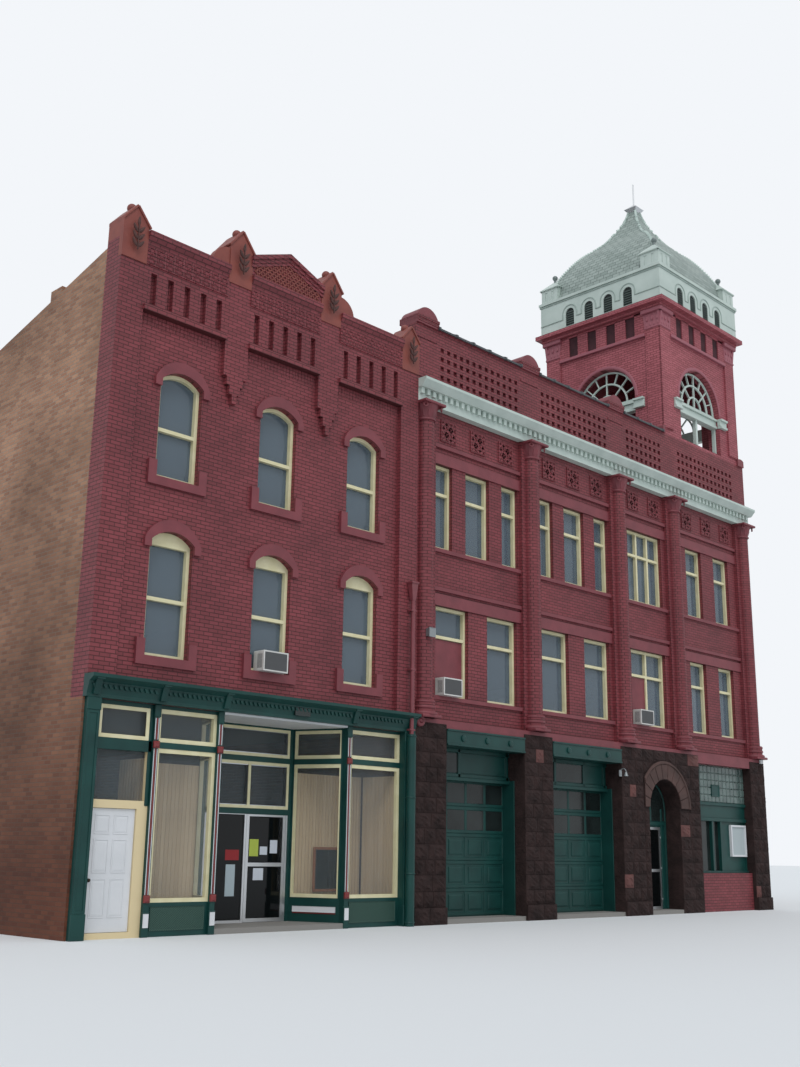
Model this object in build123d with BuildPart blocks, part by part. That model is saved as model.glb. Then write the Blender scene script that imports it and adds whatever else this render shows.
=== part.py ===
from build123d import *
from math import cos, pi, radians, sin
import os

os.makedirs("parts", exist_ok=True)

# Village hall in millimetres: a narrow brick office with a shopfront, joined to a wider hall with
# two engine bays, an arched entry and a square tower with a slate ogee roof.
# x runs along the street front from its left end, y goes into the building from the brick face,
# and z is up. The part's origin is on the ground at the middle of the footprint.
office_width = 8100
hall_width = 15300
depth = 14000
total_width = office_width + hall_width
left_x = -total_width / 2
face_y = -depth / 2

# Storeys
ground_top = 100
second_floor = 4300
third_floor = 7600
slab = 320

# Walls
front_wall = 400
side_wall = 300
party_wall = 300
rear_wall = 300

# Office front above the shopfront
office_base = 3980
office_pilaster = 560
pilaster_projection = 100
pendant_width = 580
pendant_offset = 1250
pendant_tip = 10050
pendant_full = 10600
office_window = 960
office_window_pitch = 2430
office_head_rise = 200
office_sill_low = 4830
office_spring_low = 6980
office_sill_high = 8190
office_spring_high = 10120
hood_height = 230
hood_spread = 150
hood_projection = 60
sill_height = 170
sill_ear = 180
sill_rise = 300
office_string = 11320
string_height = 110
string_projection = 60
corbel_bottom = 11480
corbel_top = 12120
corbel_slots = 5
slot_width = 130
frieze_bottom = 12260
frieze_top = 12670
office_top = 12950
coping_projection = 90
pediment_end = 13400
pediment_peak = 13780
pediment_depth = 260
outer_block = 12250
outer_shoulder = 13000
outer_peak = 13340
inner_block = 12600
inner_shoulder = 13420
inner_peak = 13790
pinnacle_ball = 95
shell_radius = 400
shell_thickness = 160

# Office sides and roof
side_top_front = 12550
side_top_break = 11610
side_break = 4400
side_top_rear = 11050
parapet_height = 350
chimney_start = 2000
chimney_width = 420
chimney_top = 12300
rear_window_rise = 120

# Window joinery
frame_depth = 90
frame_bar = 70
frame_setback = 100
glass_thickness = 12

# Shopfront
shop_pilaster_projection = 100
shop_frame_depth = 80
shop_beam = 3980
shop_top = 4370
shop_cornice_projection = 300
shop_plane = 60
left_pilaster_start = 50
left_pilaster_end = 300
column_width = 110
column_depth = 140
column_1 = 1550
column_2 = 2970
column_3 = 6280
right_pilaster = 7800
bulkhead_top = 570
display_top = 3210
transom_bottom = 3330
transom_top = 3910
recess_depth = 1200
recess_left = 3600
recess_right = 5700
corner_post = 100
soffit_bottom = 3940

# Doors
door_gap = 6
side_door_width = 910
side_door_height = 2030
side_door_thickness = 45
side_frame = 55
office_door_width = 1010
office_door_height = 2100
office_door_thickness = 45
office_frame = 50
arch_door_width = 950
arch_door_height = 2130
arch_door_setback = 460
leaf_stile = 70
knuckle_radius = 8
knuckle_height = 40
hinge_play = 0.3
flap = 3
flap_reach = 35
hinge_heights = (200, 1000, 1800)

# Hall front
pier_centres = [8460, 12370, 16240, 19040, 23040]
hall_pilaster = 720
hall_recess = 100
stone_top = 4240
stone_projection = 100
stone_spans = [(8100, 9120), (11860, 12960), (15860, 16860), (22550, 23400)]
plinth_height = 350
plinth_projection = 50
arch_left = 16860
arch_right = 19660
arch_centre = 17850
arch_radius = 750
arch_outer = 1255
arch_spring = 2725
arch_proud = 40
beam_bottom = 3790
beam_top = 4150
garage_head = 3150
garage_setback = 550
garage_door_thickness = 60
garage_transom_out = 150
base_string = 4330
shaft_radius = 200
base_top = 4720
capital_bottom = 11270
sill_2 = 4890
head_2 = 6950
lintel_2 = 7220
string_2 = 7290
sill_3 = 8290
head_3 = 10340
lintel_3 = 10600
string_3 = 10740
band_height = 90
band_projection = 60
narrow_window = 640
wide_window = 870
narrow_offset = 1230
second_window = 1120
second_offset = 900
triple_window = 1700
tower_bay_offset = 785
cornice_bottom = 11650
dentil_bottom = 11830
dentil_top = 11970
cornice_top = 12180
cornice_projection = 350
dentil_pitch = 200
dentil_width = 100
parapet_top = 13650
grid_bottom = 12370
grid_pitch = 233
grid_hole = 120
grid_depth = 60
grid_rows = 4
cap_rise = 250
shoulder_rise = 50
cap_projection = 50
pier_top = 13850
hall_roof = 12000
tower_width = 4240
tower_centre = 20920

# Tower
tower_wall = 400
tower_arch = 1150
tower_spring = 15080
impost_bottom = 14660
impost_top = 14970
impost_projection = 60
tower_sill = 13750
belfry_floor = 200
tower_string = 16900
louvre_slots = 4
slot_bottom = 17100
slot_top = 17600
tower_slot = 250
tower_slot_pitch = 720
tower_top = 17730
tower_cornice_top = 17980
tower_cornice_projection = 300
corner_width = 620
corner_projection = 60
corner_capital = 17130
stage_top = 19050
stage_out = 120
stage_wall = 120
louvre_width = 300
louvre_pitch = 740
louvre_bottom = 18220
louvre_spring = 18580
stage_moulding = 90
stage_moulding_height = 90
turret_width = 620
turret_top = 19650
turret_peak = 19950
turret_ball = 90
roof_shell = 110
cap_bottom = 22600
finial_top = 23700


def elevation(y):
    """A drawing plane that faces the street: across is x, up is z."""
    return Plane(origin=(left_x, face_y + y, 0), x_dir=(1, 0, 0), z_dir=(0, -1, 0))


def section(x):
    """A drawing plane across the building: across is y, up is z."""
    return Plane(origin=(left_x + x, face_y, 0), x_dir=(0, 1, 0), z_dir=(1, 0, 0))


def plan(z):
    """A drawing plane seen from above: across is x, up is y."""
    return Plane(origin=(left_x, face_y, z))


def at(x, y, z):
    return (left_x + x, face_y + y, z)


def rect(start, end, bottom, top, mode=Mode.ADD):
    with Locations(((start + end) / 2, (bottom + top) / 2)):
        Rectangle(end - start, top - bottom, mode=mode)


def block(start, end, near, far, bottom, top, mode=Mode.ADD):
    with Locations(at((start + end) / 2, (near + far) / 2, (bottom + top) / 2)):
        Box(end - start, far - near, top - bottom, mode=mode)


def outline(*points, mode=Mode.ADD):
    with BuildLine() as edge:
        Polyline(*points, close=True)
    make_face(edge.edges(), mode=mode)


def arched(centre, width, bottom, spring, rise, mode=Mode.ADD):
    """An opening with a curved head that rises above its springing."""
    half = width / 2
    with BuildLine() as edge:
        Polyline((centre + half, spring), (centre + half, bottom), (centre - half, bottom), (centre - half, spring))
        ThreePointArc((centre - half, spring), (centre, spring + rise), (centre + half, spring))
    make_face(edge.edges(), mode=mode)


def save(piece, name):
    piece.part.label = name
    export_step(piece.part, f"parts/{name}.step")


office_middle = office_width / 2
office_windows = [office_middle + n * office_window_pitch for n in (-1, 0, 1)]
office_rows = [(office_sill_low, office_spring_low), (office_sill_high, office_spring_high)]
pendants = [office_middle - pendant_offset, office_middle + pendant_offset]
bay_edges = [
    (office_pilaster, pendants[0] - pendant_width / 2),
    (pendants[0] + pendant_width / 2, pendants[1] - pendant_width / 2),
    (pendants[1] + pendant_width / 2, office_width - office_pilaster),
]
hall_bays = list(zip(pier_centres[:-1], pier_centres[1:]))
bay_middles = [(a + b) / 2 for a, b in hall_bays]
hall_back = front_wall + hall_recess
base_bottom = base_string
capital_top = cornice_bottom
roof_bottom = stage_top + stage_moulding_height

# Windows of the hall's two upper storeys, as middle and width
third_windows = []
second_windows = []
for middle in bay_middles[:2]:
    third_windows += [(middle - narrow_offset, narrow_window), (middle, wide_window)]
    third_windows += [(middle + narrow_offset, narrow_window)]
    second_windows += [(middle - second_offset, second_window), (middle + second_offset, second_window)]
third_windows += [(bay_middles[2], triple_window)]
second_windows += [(bay_middles[2], triple_window)]
for offset_x in (-tower_bay_offset, tower_bay_offset):
    third_windows += [(bay_middles[3] + offset_x, wide_window)]
    second_windows += [(bay_middles[3] + offset_x, wide_window)]


garage_spans = [(stone_spans[0][1], stone_spans[1][0]), (stone_spans[1][1], stone_spans[2][0])]
shop_bay = (arch_right, stone_spans[3][0])

# Brick front of the office from the shop beam to the coping, with its pilasters and pendants
with BuildPart() as office_front_wall:
    with BuildSketch(elevation(0)):
        rect(0, office_width, office_base, frieze_top)
        for middle in office_windows:
            for sill, spring in office_rows:
                arched(middle, office_window, sill, spring, office_head_rise, mode=Mode.SUBTRACT)
    extrude(amount=-front_wall)
    with BuildSketch(elevation(0)):
        rect(0, office_pilaster, shop_top, outer_block)
        rect(office_width - office_pilaster, office_width, shop_top, outer_block)
        for middle in pendants:
            half = pendant_width / 2
            step = (pendant_full - pendant_tip) / 3
            rect(middle - half, middle + half, pendant_full, inner_block)
            rect(middle - half * 0.7, middle + half * 0.7, pendant_full - step, pendant_full)
            rect(middle - half * 0.45, middle + half * 0.45, pendant_full - 2 * step, pendant_full - step)
            rect(middle - half * 0.2, middle + half * 0.2, pendant_tip, pendant_full - 2 * step)
    extrude(amount=pilaster_projection)
save(office_front_wall, "office_front_wall")

# Smooth segmental hoods over the six office windows, and the eared sills under them
with BuildPart() as office_surrounds:
    with BuildSketch(elevation(0)):
        for middle in office_windows:
            for sill, spring in office_rows:
                half = office_window / 2
                arched(middle, office_window + 2 * hood_spread, spring - hood_spread, spring,
                       office_head_rise + hood_height)
                arched(middle, office_window, spring - 2 * hood_spread, spring, office_head_rise,
                       mode=Mode.SUBTRACT)
                rect(middle - half - sill_ear, middle + half + sill_ear, sill - sill_height, sill)
                rect(middle - half - sill_ear, middle - half, sill, sill + sill_rise)
                rect(middle + half, middle + half + sill_ear, sill, sill + sill_rise)
    extrude(amount=hood_projection)
save(office_surrounds, "office_surrounds")

# Cream sashes of the six office windows
with BuildPart() as office_sashes:
    with BuildSketch(elevation(frame_setback)):
        for middle in office_windows:
            for sill, spring in office_rows:
                inner = office_window - 2 * frame_bar
                meeting = (sill + spring) / 2
                arched(middle, office_window, sill, spring, office_head_rise)
                if sill == office_sill_high:
                    arched(middle, inner, meeting + frame_bar / 2, spring, office_head_rise - frame_bar,
                           mode=Mode.SUBTRACT)
                else:
                    rect(middle - inner / 2, middle + inner / 2, meeting + frame_bar / 2,
                         spring - frame_bar, mode=Mode.SUBTRACT)
                rect(middle - inner / 2, middle + inner / 2, sill + frame_bar, meeting - frame_bar / 2,
                     mode=Mode.SUBTRACT)
    extrude(amount=-frame_depth)
save(office_sashes, "office_sashes")

# Brick corbel table with dark slots, between pilasters and pendants
with BuildPart() as office_corbels:
    with BuildSketch(elevation(0)):
        for start, end in bay_edges:
            rect(start, end, office_string, frieze_bottom)
            pitch = (end - start) / corbel_slots
            for n in range(corbel_slots):
                middle = start + (n + 0.5) * pitch
                rect(middle - slot_width / 2, middle + slot_width / 2, corbel_bottom, corbel_top,
                     mode=Mode.SUBTRACT)
    extrude(amount=pilaster_projection)
    with BuildSketch(elevation(-pilaster_projection)):
        for start, end in bay_edges:
            rect(start, end, office_string, office_string + string_height)
    extrude(amount=string_projection)
save(office_corbels, "office_corbels")

# Band of square clay tiles, the moulded coping over it and the low gable of the middle bay
with BuildPart() as office_frieze:
    with BuildSketch(elevation(0)):
        for start, end in bay_edges:
            rect(start, end, frieze_bottom, frieze_top)
    extrude(amount=pilaster_projection)
    for start, end in bay_edges:
        with BuildSketch(section(start)):
            outline((-pilaster_projection, frieze_top), (front_wall, frieze_top), (front_wall, office_top),
                    (-pilaster_projection - coping_projection, office_top),
                    (-pilaster_projection - coping_projection, office_top - 100),
                    (-pilaster_projection, frieze_top + 60))
        extrude(amount=end - start)
    start, end = bay_edges[1]
    with BuildSketch(elevation(-pilaster_projection)):
        outline((start, office_top), (end, office_top), (end, pediment_end),
                (office_middle, pediment_peak), (start, pediment_end))
    extrude(amount=-pediment_depth)
save(office_frieze, "office_frieze")


def pinnacle(middle, width, bottom, shoulder, peak):
    """A clay block with a gabled head and a ball."""
    half = width / 2
    with BuildSketch(elevation(-pilaster_projection - 20)) as gable:
        outline((middle - half, bottom), (middle + half, bottom), (middle + half, shoulder),
                (middle, peak), (middle - half, shoulder))
    extrude(gable.sketch, amount=-(front_wall + pilaster_projection + 20))
    with Locations(at(middle, front_wall / 4, peak + pinnacle_ball / 2)):
        Sphere(pinnacle_ball)


# Clay pinnacles on the pilasters and pendants, and the quarter-round shells beside the inner two
with BuildPart() as office_pinnacles:
    pinnacle(office_pilaster / 2, office_pilaster, frieze_top, outer_shoulder, outer_peak)
    pinnacle(office_width - office_pilaster / 2, office_pilaster, frieze_top, outer_shoulder, outer_peak)
    for middle in pendants:
        pinnacle(middle, pendant_width, frieze_top, inner_shoulder, inner_peak)
    with BuildSketch(elevation(0)):
        rect(0, office_pilaster, outer_block, frieze_top)
        rect(office_width - office_pilaster, office_width, outer_block, frieze_top)
        for middle in pendants:
            rect(middle - pendant_width / 2, middle + pendant_width / 2, inner_block, frieze_top)
    extrude(amount=pilaster_projection + 20)
    for edge, side in ((bay_edges[0][1], -1), (bay_edges[2][0], 1)):
        with BuildSketch(elevation(-pilaster_projection)):
            with BuildLine():
                Line((edge, office_top), (edge + side * shell_radius, office_top))
                RadiusArc((edge + side * shell_radius, office_top), (edge, office_top + shell_radius),
                          side * -shell_radius)
                Line((edge, office_top + shell_radius), (edge, office_top))
            make_face()
        extrude(amount=-shell_thickness)
save(office_pinnacles, "office_pinnacles")

# Left side wall with its sloping top and the stub of a chimney
with BuildPart() as office_left_wall:
    with BuildSketch(section(0)):
        outline((0, 0), (depth - rear_wall, 0), (depth - rear_wall, side_top_rear),
                (side_break, side_top_break), (front_wall, side_top_front),
                (front_wall, office_base), (0, office_base))
    extrude(amount=side_wall)
    block(0, side_wall, chimney_start, chimney_start + chimney_width, side_top_break, chimney_top)
save(office_left_wall, "office_left_wall")


def rear_openings(start, end, rows, count, width, rise):
    pitch = (end - start) / count
    for n in range(count):
        middle = start + (n + 0.5) * pitch
        for sill, spring in rows:
            if rise:
                arched(middle, width, sill, spring, rise, mode=Mode.SUBTRACT)
            else:
                rect(middle - width / 2, middle + width / 2, sill, spring, mode=Mode.SUBTRACT)


office_rear_rows = [(1000, 3000)] + office_rows
office_rear_count = 3
hall_rear_rows = [(1000, 3000), (sill_2, head_2), (sill_3, head_3)]
hall_rear_count = 6
hall_side_count = 5
hall_rear_top = hall_roof + 300

# Plain rear wall of the office with three rows of windows
with BuildPart() as office_rear_wall:
    with BuildSketch(elevation(depth - rear_wall)):
        rect(0, office_width, 0, side_top_rear)
        rear_openings(0, office_width, office_rear_rows, office_rear_count, office_window, rear_window_rise)
    extrude(amount=-rear_wall)
save(office_rear_wall, "office_rear_wall")

# Wall between office and hall
with BuildPart() as party_wall_piece:
    block(office_width - party_wall / 2, office_width + party_wall / 2, hall_back,
          depth - rear_wall, 0, side_top_front)
save(party_wall_piece, "party_wall")

# Office roof, falling to the rear, and the flat roof of the hall
hall_inner = (office_width + party_wall / 2, total_width - side_wall)
office_inner = (side_wall, office_width - party_wall / 2)
with BuildPart() as roofs:
    with BuildSketch(section(office_inner[0])):
        outline((front_wall, side_top_break - parapet_height),
                (depth - rear_wall, side_top_rear - parapet_height),
                (depth - rear_wall, side_top_rear - parapet_height - slab),
                (front_wall, side_top_break - parapet_height - slab))
    extrude(amount=office_inner[1] - office_inner[0])
    block(*hall_inner, hall_back, depth - rear_wall, hall_roof - slab, hall_roof)
save(roofs, "roofs")

# Floors: the ground slab with the floor of the recessed entry, and two upper floors
with BuildPart() as floors:
    for top in (second_floor, third_floor):
        block(*office_inner, front_wall, depth - rear_wall, top - slab, top)
        block(*hall_inner, hall_back, depth - rear_wall, top - slab, top)
    block(*office_inner, shop_plane + shop_frame_depth, depth - rear_wall, 0, ground_top)
    block(column_2 + column_width / 2, column_3 - column_width / 2, 0, shop_plane + shop_frame_depth, 0,
          ground_top)
    block(*hall_inner, hall_back, depth - rear_wall, 0, ground_top)
    for start, end in garage_spans + [(arch_centre - arch_radius, arch_centre + arch_radius)]:
        block(start, end, -stone_projection, hall_back, 0, ground_top)
save(floors, "floors")

# Green shop beam and cornice over the whole shopfront
with BuildPart() as shop_cornice:
    with BuildSketch(section(0)):
        outline((0, shop_beam), (0, shop_top), (-shop_cornice_projection, shop_top),
                (-shop_cornice_projection, shop_top - 60), (-shop_cornice_projection * 0.6, shop_top - 130),
                (-shop_cornice_projection * 0.4, shop_beam + 60), (-shop_cornice_projection * 0.4, shop_beam))
    extrude(amount=office_width)
save(shop_cornice, "shop_cornice")

# Slender iron columns of the shopfront and the pilasters at its ends
with BuildPart() as shop_columns:
    for middle in (column_1, column_2, column_3):
        block(middle - column_width / 2, middle + column_width / 2, 0, column_depth, 0, shop_beam)
    for start in (recess_left - corner_post, recess_right):
        block(start, start + corner_post, recess_depth, recess_depth + corner_post, ground_top, shop_beam)
    block(left_pilaster_start, left_pilaster_end, -shop_pilaster_projection, 0, 0, shop_beam)
    block(right_pilaster, office_width, -shop_pilaster_projection, column_depth, 0, shop_beam)
save(shop_columns, "shop_columns")

# Each stretch of shopfront glazing is a line on plan, from its left end to its right end
left_window = ((column_1 + column_width / 2, shop_plane), (column_2 - column_width / 2, shop_plane))
left_splay = ((column_2 + column_width / 2, column_depth), (recess_left - corner_post, recess_depth))
right_splay = ((recess_right + corner_post, recess_depth), (column_3 - column_width / 2, column_depth))
right_window = ((column_3 + column_width / 2, shop_plane), (right_pilaster, shop_plane))
displays = [left_window, left_splay, right_splay, right_window]


def along(run, depth_out=0.0):
    """A drawing plane that stands on a line of the plan and faces out of it."""
    (x1, y1), (x2, y2) = run
    length = ((x2 - x1) ** 2 + (y2 - y1) ** 2) ** 0.5
    across = ((x2 - x1) / length, (y2 - y1) / length, 0)
    outward = (across[1], -across[0], 0)
    plane = Plane(origin=at(x1, y1, 0), x_dir=across, z_dir=outward)
    return plane.offset(depth_out), length


# Low bulkheads under the display windows
with BuildPart() as shop_bulkheads:
    for run in displays:
        plane, length = along(run)
        with BuildSketch(plane):
            rect(0, length, ground_top if run in displays[1:3] else 0, bulkhead_top)
        extrude(amount=-shop_frame_depth)
save(shop_bulkheads, "shop_bulkheads")

# Cream frames of the display windows and the lights over them
with BuildPart() as shop_frames:
    for run in displays:
        plane, length = along(run)
        with BuildSketch(plane):
            rect(0, length, bulkhead_top, shop_beam)
            rect(frame_bar, length - frame_bar, bulkhead_top + frame_bar, display_top - frame_bar,
                 mode=Mode.SUBTRACT)
            rect(frame_bar, length - frame_bar, transom_bottom + frame_bar, transom_top - frame_bar,
                 mode=Mode.SUBTRACT)
        extrude(amount=-shop_frame_depth)
save(shop_frames, "shop_frames")

# Pale board ceiling of the recessed entry
with BuildPart() as entry_soffit:
    with BuildSketch(plan(soffit_bottom)):
        outline((left_splay[0][0], 0), *left_splay, *right_splay, (right_splay[1][0], 0))
    extrude(amount=shop_beam - soffit_bottom)
save(entry_soffit, "entry_soffit")

def hinge(axis_x, face, swing, bottom, of_leaf):
    """One side of three butt hinges. Swing is 1 where the door opens in, and -1 where it opens out."""
    axis_y = face + swing * (knuckle_radius + hinge_play)
    near, far = sorted((face, face + swing * flap))
    start = axis_x - flap_reach if of_leaf else axis_x
    for height in hinge_heights:
        low = bottom + height
        spans = [(low, low + knuckle_height), (low + 2 * knuckle_height, low + 3 * knuckle_height)]
        if of_leaf:
            spans = [(low + knuckle_height + hinge_play, low + 2 * knuckle_height - hinge_play)]
        for low, high in spans:
            with Locations(at(axis_x, axis_y, (low + high) / 2)):
                Cylinder(knuckle_radius, high - low)
            block(start, start + flap_reach, near, far, low, high)


office_door_right = recess_right - office_frame
office_door_left = office_door_right - office_door_width
office_door_bottom = ground_top + door_gap
office_door_head = office_door_bottom + office_door_height + door_gap

# Aluminium frame at the back of the recess: jambs, sidelight and the lights over the door
with BuildPart() as entry_frame:
    with BuildSketch(elevation(recess_depth)):
        rect(recess_left, recess_right, ground_top, shop_beam)
        rect(office_door_left - door_gap, office_door_right + door_gap, ground_top, office_door_head,
             mode=Mode.SUBTRACT)
        rect(recess_left + office_frame, office_door_left - door_gap - office_frame,
             ground_top + office_frame, office_door_head - office_frame, mode=Mode.SUBTRACT)
        middle = (recess_left + recess_right) / 2
        rect(recess_left + frame_bar, middle - frame_bar / 2, office_door_head + 3 * office_frame,
             display_top - frame_bar, mode=Mode.SUBTRACT)
        rect(middle + frame_bar / 2, recess_right - frame_bar, office_door_head + 3 * office_frame,
             display_top - frame_bar, mode=Mode.SUBTRACT)
        rect(recess_left + frame_bar, recess_right - frame_bar, transom_bottom + frame_bar,
             transom_top - frame_bar, mode=Mode.SUBTRACT)
    extrude(amount=-shop_frame_depth)
    hinge(office_door_right + door_gap / 2, recess_depth, -1, office_door_bottom, False)
save(entry_frame, "entry_frame")


def glazed_leaf(left, right, bottom, top, near, thickness, rail):
    """A metal door leaf with a middle rail and glass let into it."""
    with BuildSketch(elevation(near)) as stiles:
        rect(left, right, bottom, top)
        rect(left + leaf_stile, right - leaf_stile, bottom + leaf_stile, rail - leaf_stile / 2,
             mode=Mode.SUBTRACT)
        rect(left + leaf_stile, right - leaf_stile, rail + leaf_stile / 2, top - leaf_stile,
             mode=Mode.SUBTRACT)
    extrude(stiles.sketch, amount=-thickness)
    with BuildSketch(elevation(near + thickness / 2)) as pane:
        rect(left + leaf_stile / 2, right - leaf_stile / 2, bottom + leaf_stile / 2, top - leaf_stile / 2)
    extrude(pane.sketch, amount=-glass_thickness)


# Glazed office door, hung on the right and opening out into the recess
with BuildPart() as office_door:
    glazed_leaf(office_door_left, office_door_right, office_door_bottom,
                office_door_bottom + office_door_height, recess_depth, office_door_thickness, 1200)
    hinge(office_door_right + door_gap / 2, recess_depth, -1, office_door_bottom, True)
save(office_door, "office_door")

side_door_left = left_pilaster_end + side_frame + door_gap
side_door_right = side_door_left + side_door_width
side_door_bottom = ground_top + door_gap
side_door_far = shop_plane + shop_frame_depth
side_door_head = side_door_bottom + side_door_height + door_gap

# Bare pine frame of the side door, with the light above it
with BuildPart() as side_door_frame:
    with BuildSketch(elevation(shop_plane)):
        rect(left_pilaster_end, column_1 - column_width / 2, 0, shop_beam)
        rect(side_door_left - door_gap, side_door_right + door_gap, ground_top, side_door_head,
             mode=Mode.SUBTRACT)
        rect(left_pilaster_end + frame_bar, column_1 - column_width / 2 - frame_bar,
             side_door_head + 2 * frame_bar, display_top - frame_bar, mode=Mode.SUBTRACT)
        rect(left_pilaster_end + frame_bar, column_1 - column_width / 2 - frame_bar,
             transom_bottom + frame_bar, transom_top - frame_bar, mode=Mode.SUBTRACT)
    extrude(amount=-shop_frame_depth)
    hinge(side_door_right + door_gap / 2, side_door_far, 1, side_door_bottom, False)
save(side_door_frame, "side_door_frame")

# Plate glass of the display windows, the recessed entry and the light over the side door
with BuildPart() as shop_glass:
    for run in displays:
        plane, length = along(run, -shop_frame_depth)
        with BuildSketch(plane):
            rect(frame_bar / 2, length - frame_bar / 2, bulkhead_top + frame_bar / 2,
                 display_top - frame_bar / 2)
            rect(frame_bar / 2, length - frame_bar / 2, transom_bottom + frame_bar / 2,
                 transom_top - frame_bar / 2)
        extrude(amount=-glass_thickness)
    with BuildSketch(elevation(recess_depth + shop_frame_depth)):
        rect(recess_left + frame_bar / 2, office_door_left - door_gap - office_frame / 2,
             ground_top + office_frame / 2, office_door_head - office_frame / 2)
        rect(recess_left + frame_bar / 2, recess_right - frame_bar / 2,
             office_door_head + 2 * office_frame, display_top - frame_bar / 2)
        rect(recess_left + frame_bar / 2, recess_right - frame_bar / 2, transom_bottom + frame_bar / 2,
             transom_top - frame_bar / 2)
    extrude(amount=-glass_thickness)
    with BuildSketch(elevation(shop_plane + shop_frame_depth)):
        rect(left_pilaster_end + frame_bar / 2, column_1 - column_width / 2 - frame_bar / 2,
             side_door_head + 1.5 * frame_bar, display_top - frame_bar / 2)
        rect(left_pilaster_end + frame_bar / 2, column_1 - column_width / 2 - frame_bar / 2,
             transom_bottom + frame_bar / 2, transom_top - frame_bar / 2)
    extrude(amount=-glass_thickness)
save(shop_glass, "shop_glass")

# White six-panel side door, hung on the right and opening in
with BuildPart() as side_door:
    with BuildSketch(elevation(side_door_far - side_door_thickness)):
        rect(side_door_left, side_door_right, side_door_bottom, side_door_bottom + side_door_height)
    extrude(amount=-side_door_thickness)
    hinge(side_door_right + door_gap / 2, side_door_far, 1, side_door_bottom, True)
save(side_door, "side_door")

# Rock-faced stone piers of the ground storey
with BuildPart() as stone_piers:
    for start, end in stone_spans:
        block(start, end, -stone_projection, hall_back, 0, stone_top)
        block(start, end, -stone_projection - plinth_projection, -stone_projection, 0, plinth_height)
save(stone_piers, "stone_piers")

# Stone wall with the round entry arch, and its proud ring of arch stones
with BuildPart() as stone_arch:
    with BuildSketch(elevation(-stone_projection)):
        rect(arch_left, arch_right, 0, stone_top)
        arched(arch_centre, 2 * arch_radius, 0, arch_spring, arch_radius, mode=Mode.SUBTRACT)
    extrude(amount=-(stone_projection + hall_back))
    with BuildSketch(elevation(-stone_projection)):
        with Locations((arch_centre, arch_spring)):
            Circle(arch_outer)
            Circle(arch_radius, mode=Mode.SUBTRACT)
        rect(arch_left, arch_right, arch_spring - arch_outer, arch_spring, mode=Mode.SUBTRACT)
        rect(arch_left - arch_outer, arch_left, 0, stone_top, mode=Mode.SUBTRACT)
    extrude(amount=arch_proud)
save(stone_arch, "stone_arch")

# Green steel beams over the two engine bays
with BuildPart() as bay_beams:
    for start, end in garage_spans:
        block(start, end, -stone_projection - 30, hall_back, beam_bottom, beam_top)
save(bay_beams, "bay_beams")

# Green sectional doors of the engine bays
with BuildPart() as garage_doors:
    for start, end in garage_spans:
        with BuildSketch(elevation(garage_setback)):
            rect(start, end, ground_top, garage_head)
        extrude(amount=-garage_door_thickness)
        with BuildSketch(elevation(garage_setback - garage_transom_out)):
            rect(start, end, garage_head, beam_bottom)
        extrude(amount=-(garage_door_thickness + garage_transom_out))
save(garage_doors, "garage_doors")

# Shop bay beside the arch: brick base, window, green band and glass blocks
shop_base_top = 1030
shop_window_top = 2490
glass_block_bottom = 2950
shop_head = 4030
shop_bay_setback = 150
with BuildPart() as shop_base:
    block(*shop_bay, 0, hall_back, 0, shop_base_top)
save(shop_base, "shop_base")

with BuildPart() as shop_window:
    start, end = shop_bay
    with BuildSketch(elevation(shop_bay_setback)):
        rect(start, end, shop_base_top, glass_block_bottom)
        rect(start + frame_bar, end - frame_bar, shop_base_top + frame_bar, shop_window_top,
             mode=Mode.SUBTRACT)
    extrude(amount=-shop_frame_depth)
    with BuildSketch(elevation(shop_bay_setback + shop_frame_depth)):
        rect(start, end, shop_base_top, glass_block_bottom)
    extrude(amount=-glass_thickness)
save(shop_window, "shop_window")

with BuildPart() as glass_blocks:
    block(*shop_bay, shop_bay_setback, shop_bay_setback + 100, glass_block_bottom, shop_head)
save(glass_blocks, "glass_blocks")

arch_door_left = arch_centre - arch_door_width / 2
arch_door_right = arch_centre + arch_door_width / 2
arch_door_bottom = ground_top + door_gap
arch_door_head = arch_door_bottom + arch_door_height + door_gap
arch_door_face = arch_door_setback - shop_frame_depth

# Green frame inside the arch, with its fanlight
with BuildPart() as arch_door_frame:
    with BuildSketch(elevation(arch_door_face)):
        arched(arch_centre, 2 * arch_radius, ground_top, arch_spring, arch_radius)
        rect(arch_door_left - door_gap, arch_door_right + door_gap, ground_top, arch_door_head,
             mode=Mode.SUBTRACT)
    extrude(amount=-shop_frame_depth)
    hinge(arch_door_right + door_gap / 2, arch_door_face, -1, arch_door_bottom, False)
save(arch_door_frame, "arch_door_frame")

with BuildPart() as arch_door:
    glazed_leaf(arch_door_left, arch_door_right, arch_door_bottom, arch_door_bottom + arch_door_height,
                arch_door_face, office_door_thickness, 1100)
    hinge(arch_door_right + door_gap / 2, arch_door_face, -1, arch_door_bottom, True)
save(arch_door, "arch_door")

def pier_edges(middle):
    start = max(middle - hall_pilaster / 2, office_width)
    end = min(middle + hall_pilaster / 2, total_width)
    return start, end


# Brick front of the hall's two upper storeys, with flat pilasters between the bays
with BuildPart() as hall_front_wall:
    with BuildSketch(elevation(hall_recess)):
        rect(office_width, total_width, stone_top, cornice_top)
        for middle, width in third_windows:
            rect(middle - width / 2, middle + width / 2, sill_3, head_3, mode=Mode.SUBTRACT)
        for middle, width in second_windows:
            rect(middle - width / 2, middle + width / 2, sill_2, head_2, mode=Mode.SUBTRACT)
    extrude(amount=-front_wall)
    for middle in pier_centres:
        start, end = pier_edges(middle)
        block(start, end, 0, hall_recess, base_string, cornice_bottom)
save(hall_front_wall, "hall_front_wall")

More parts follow.
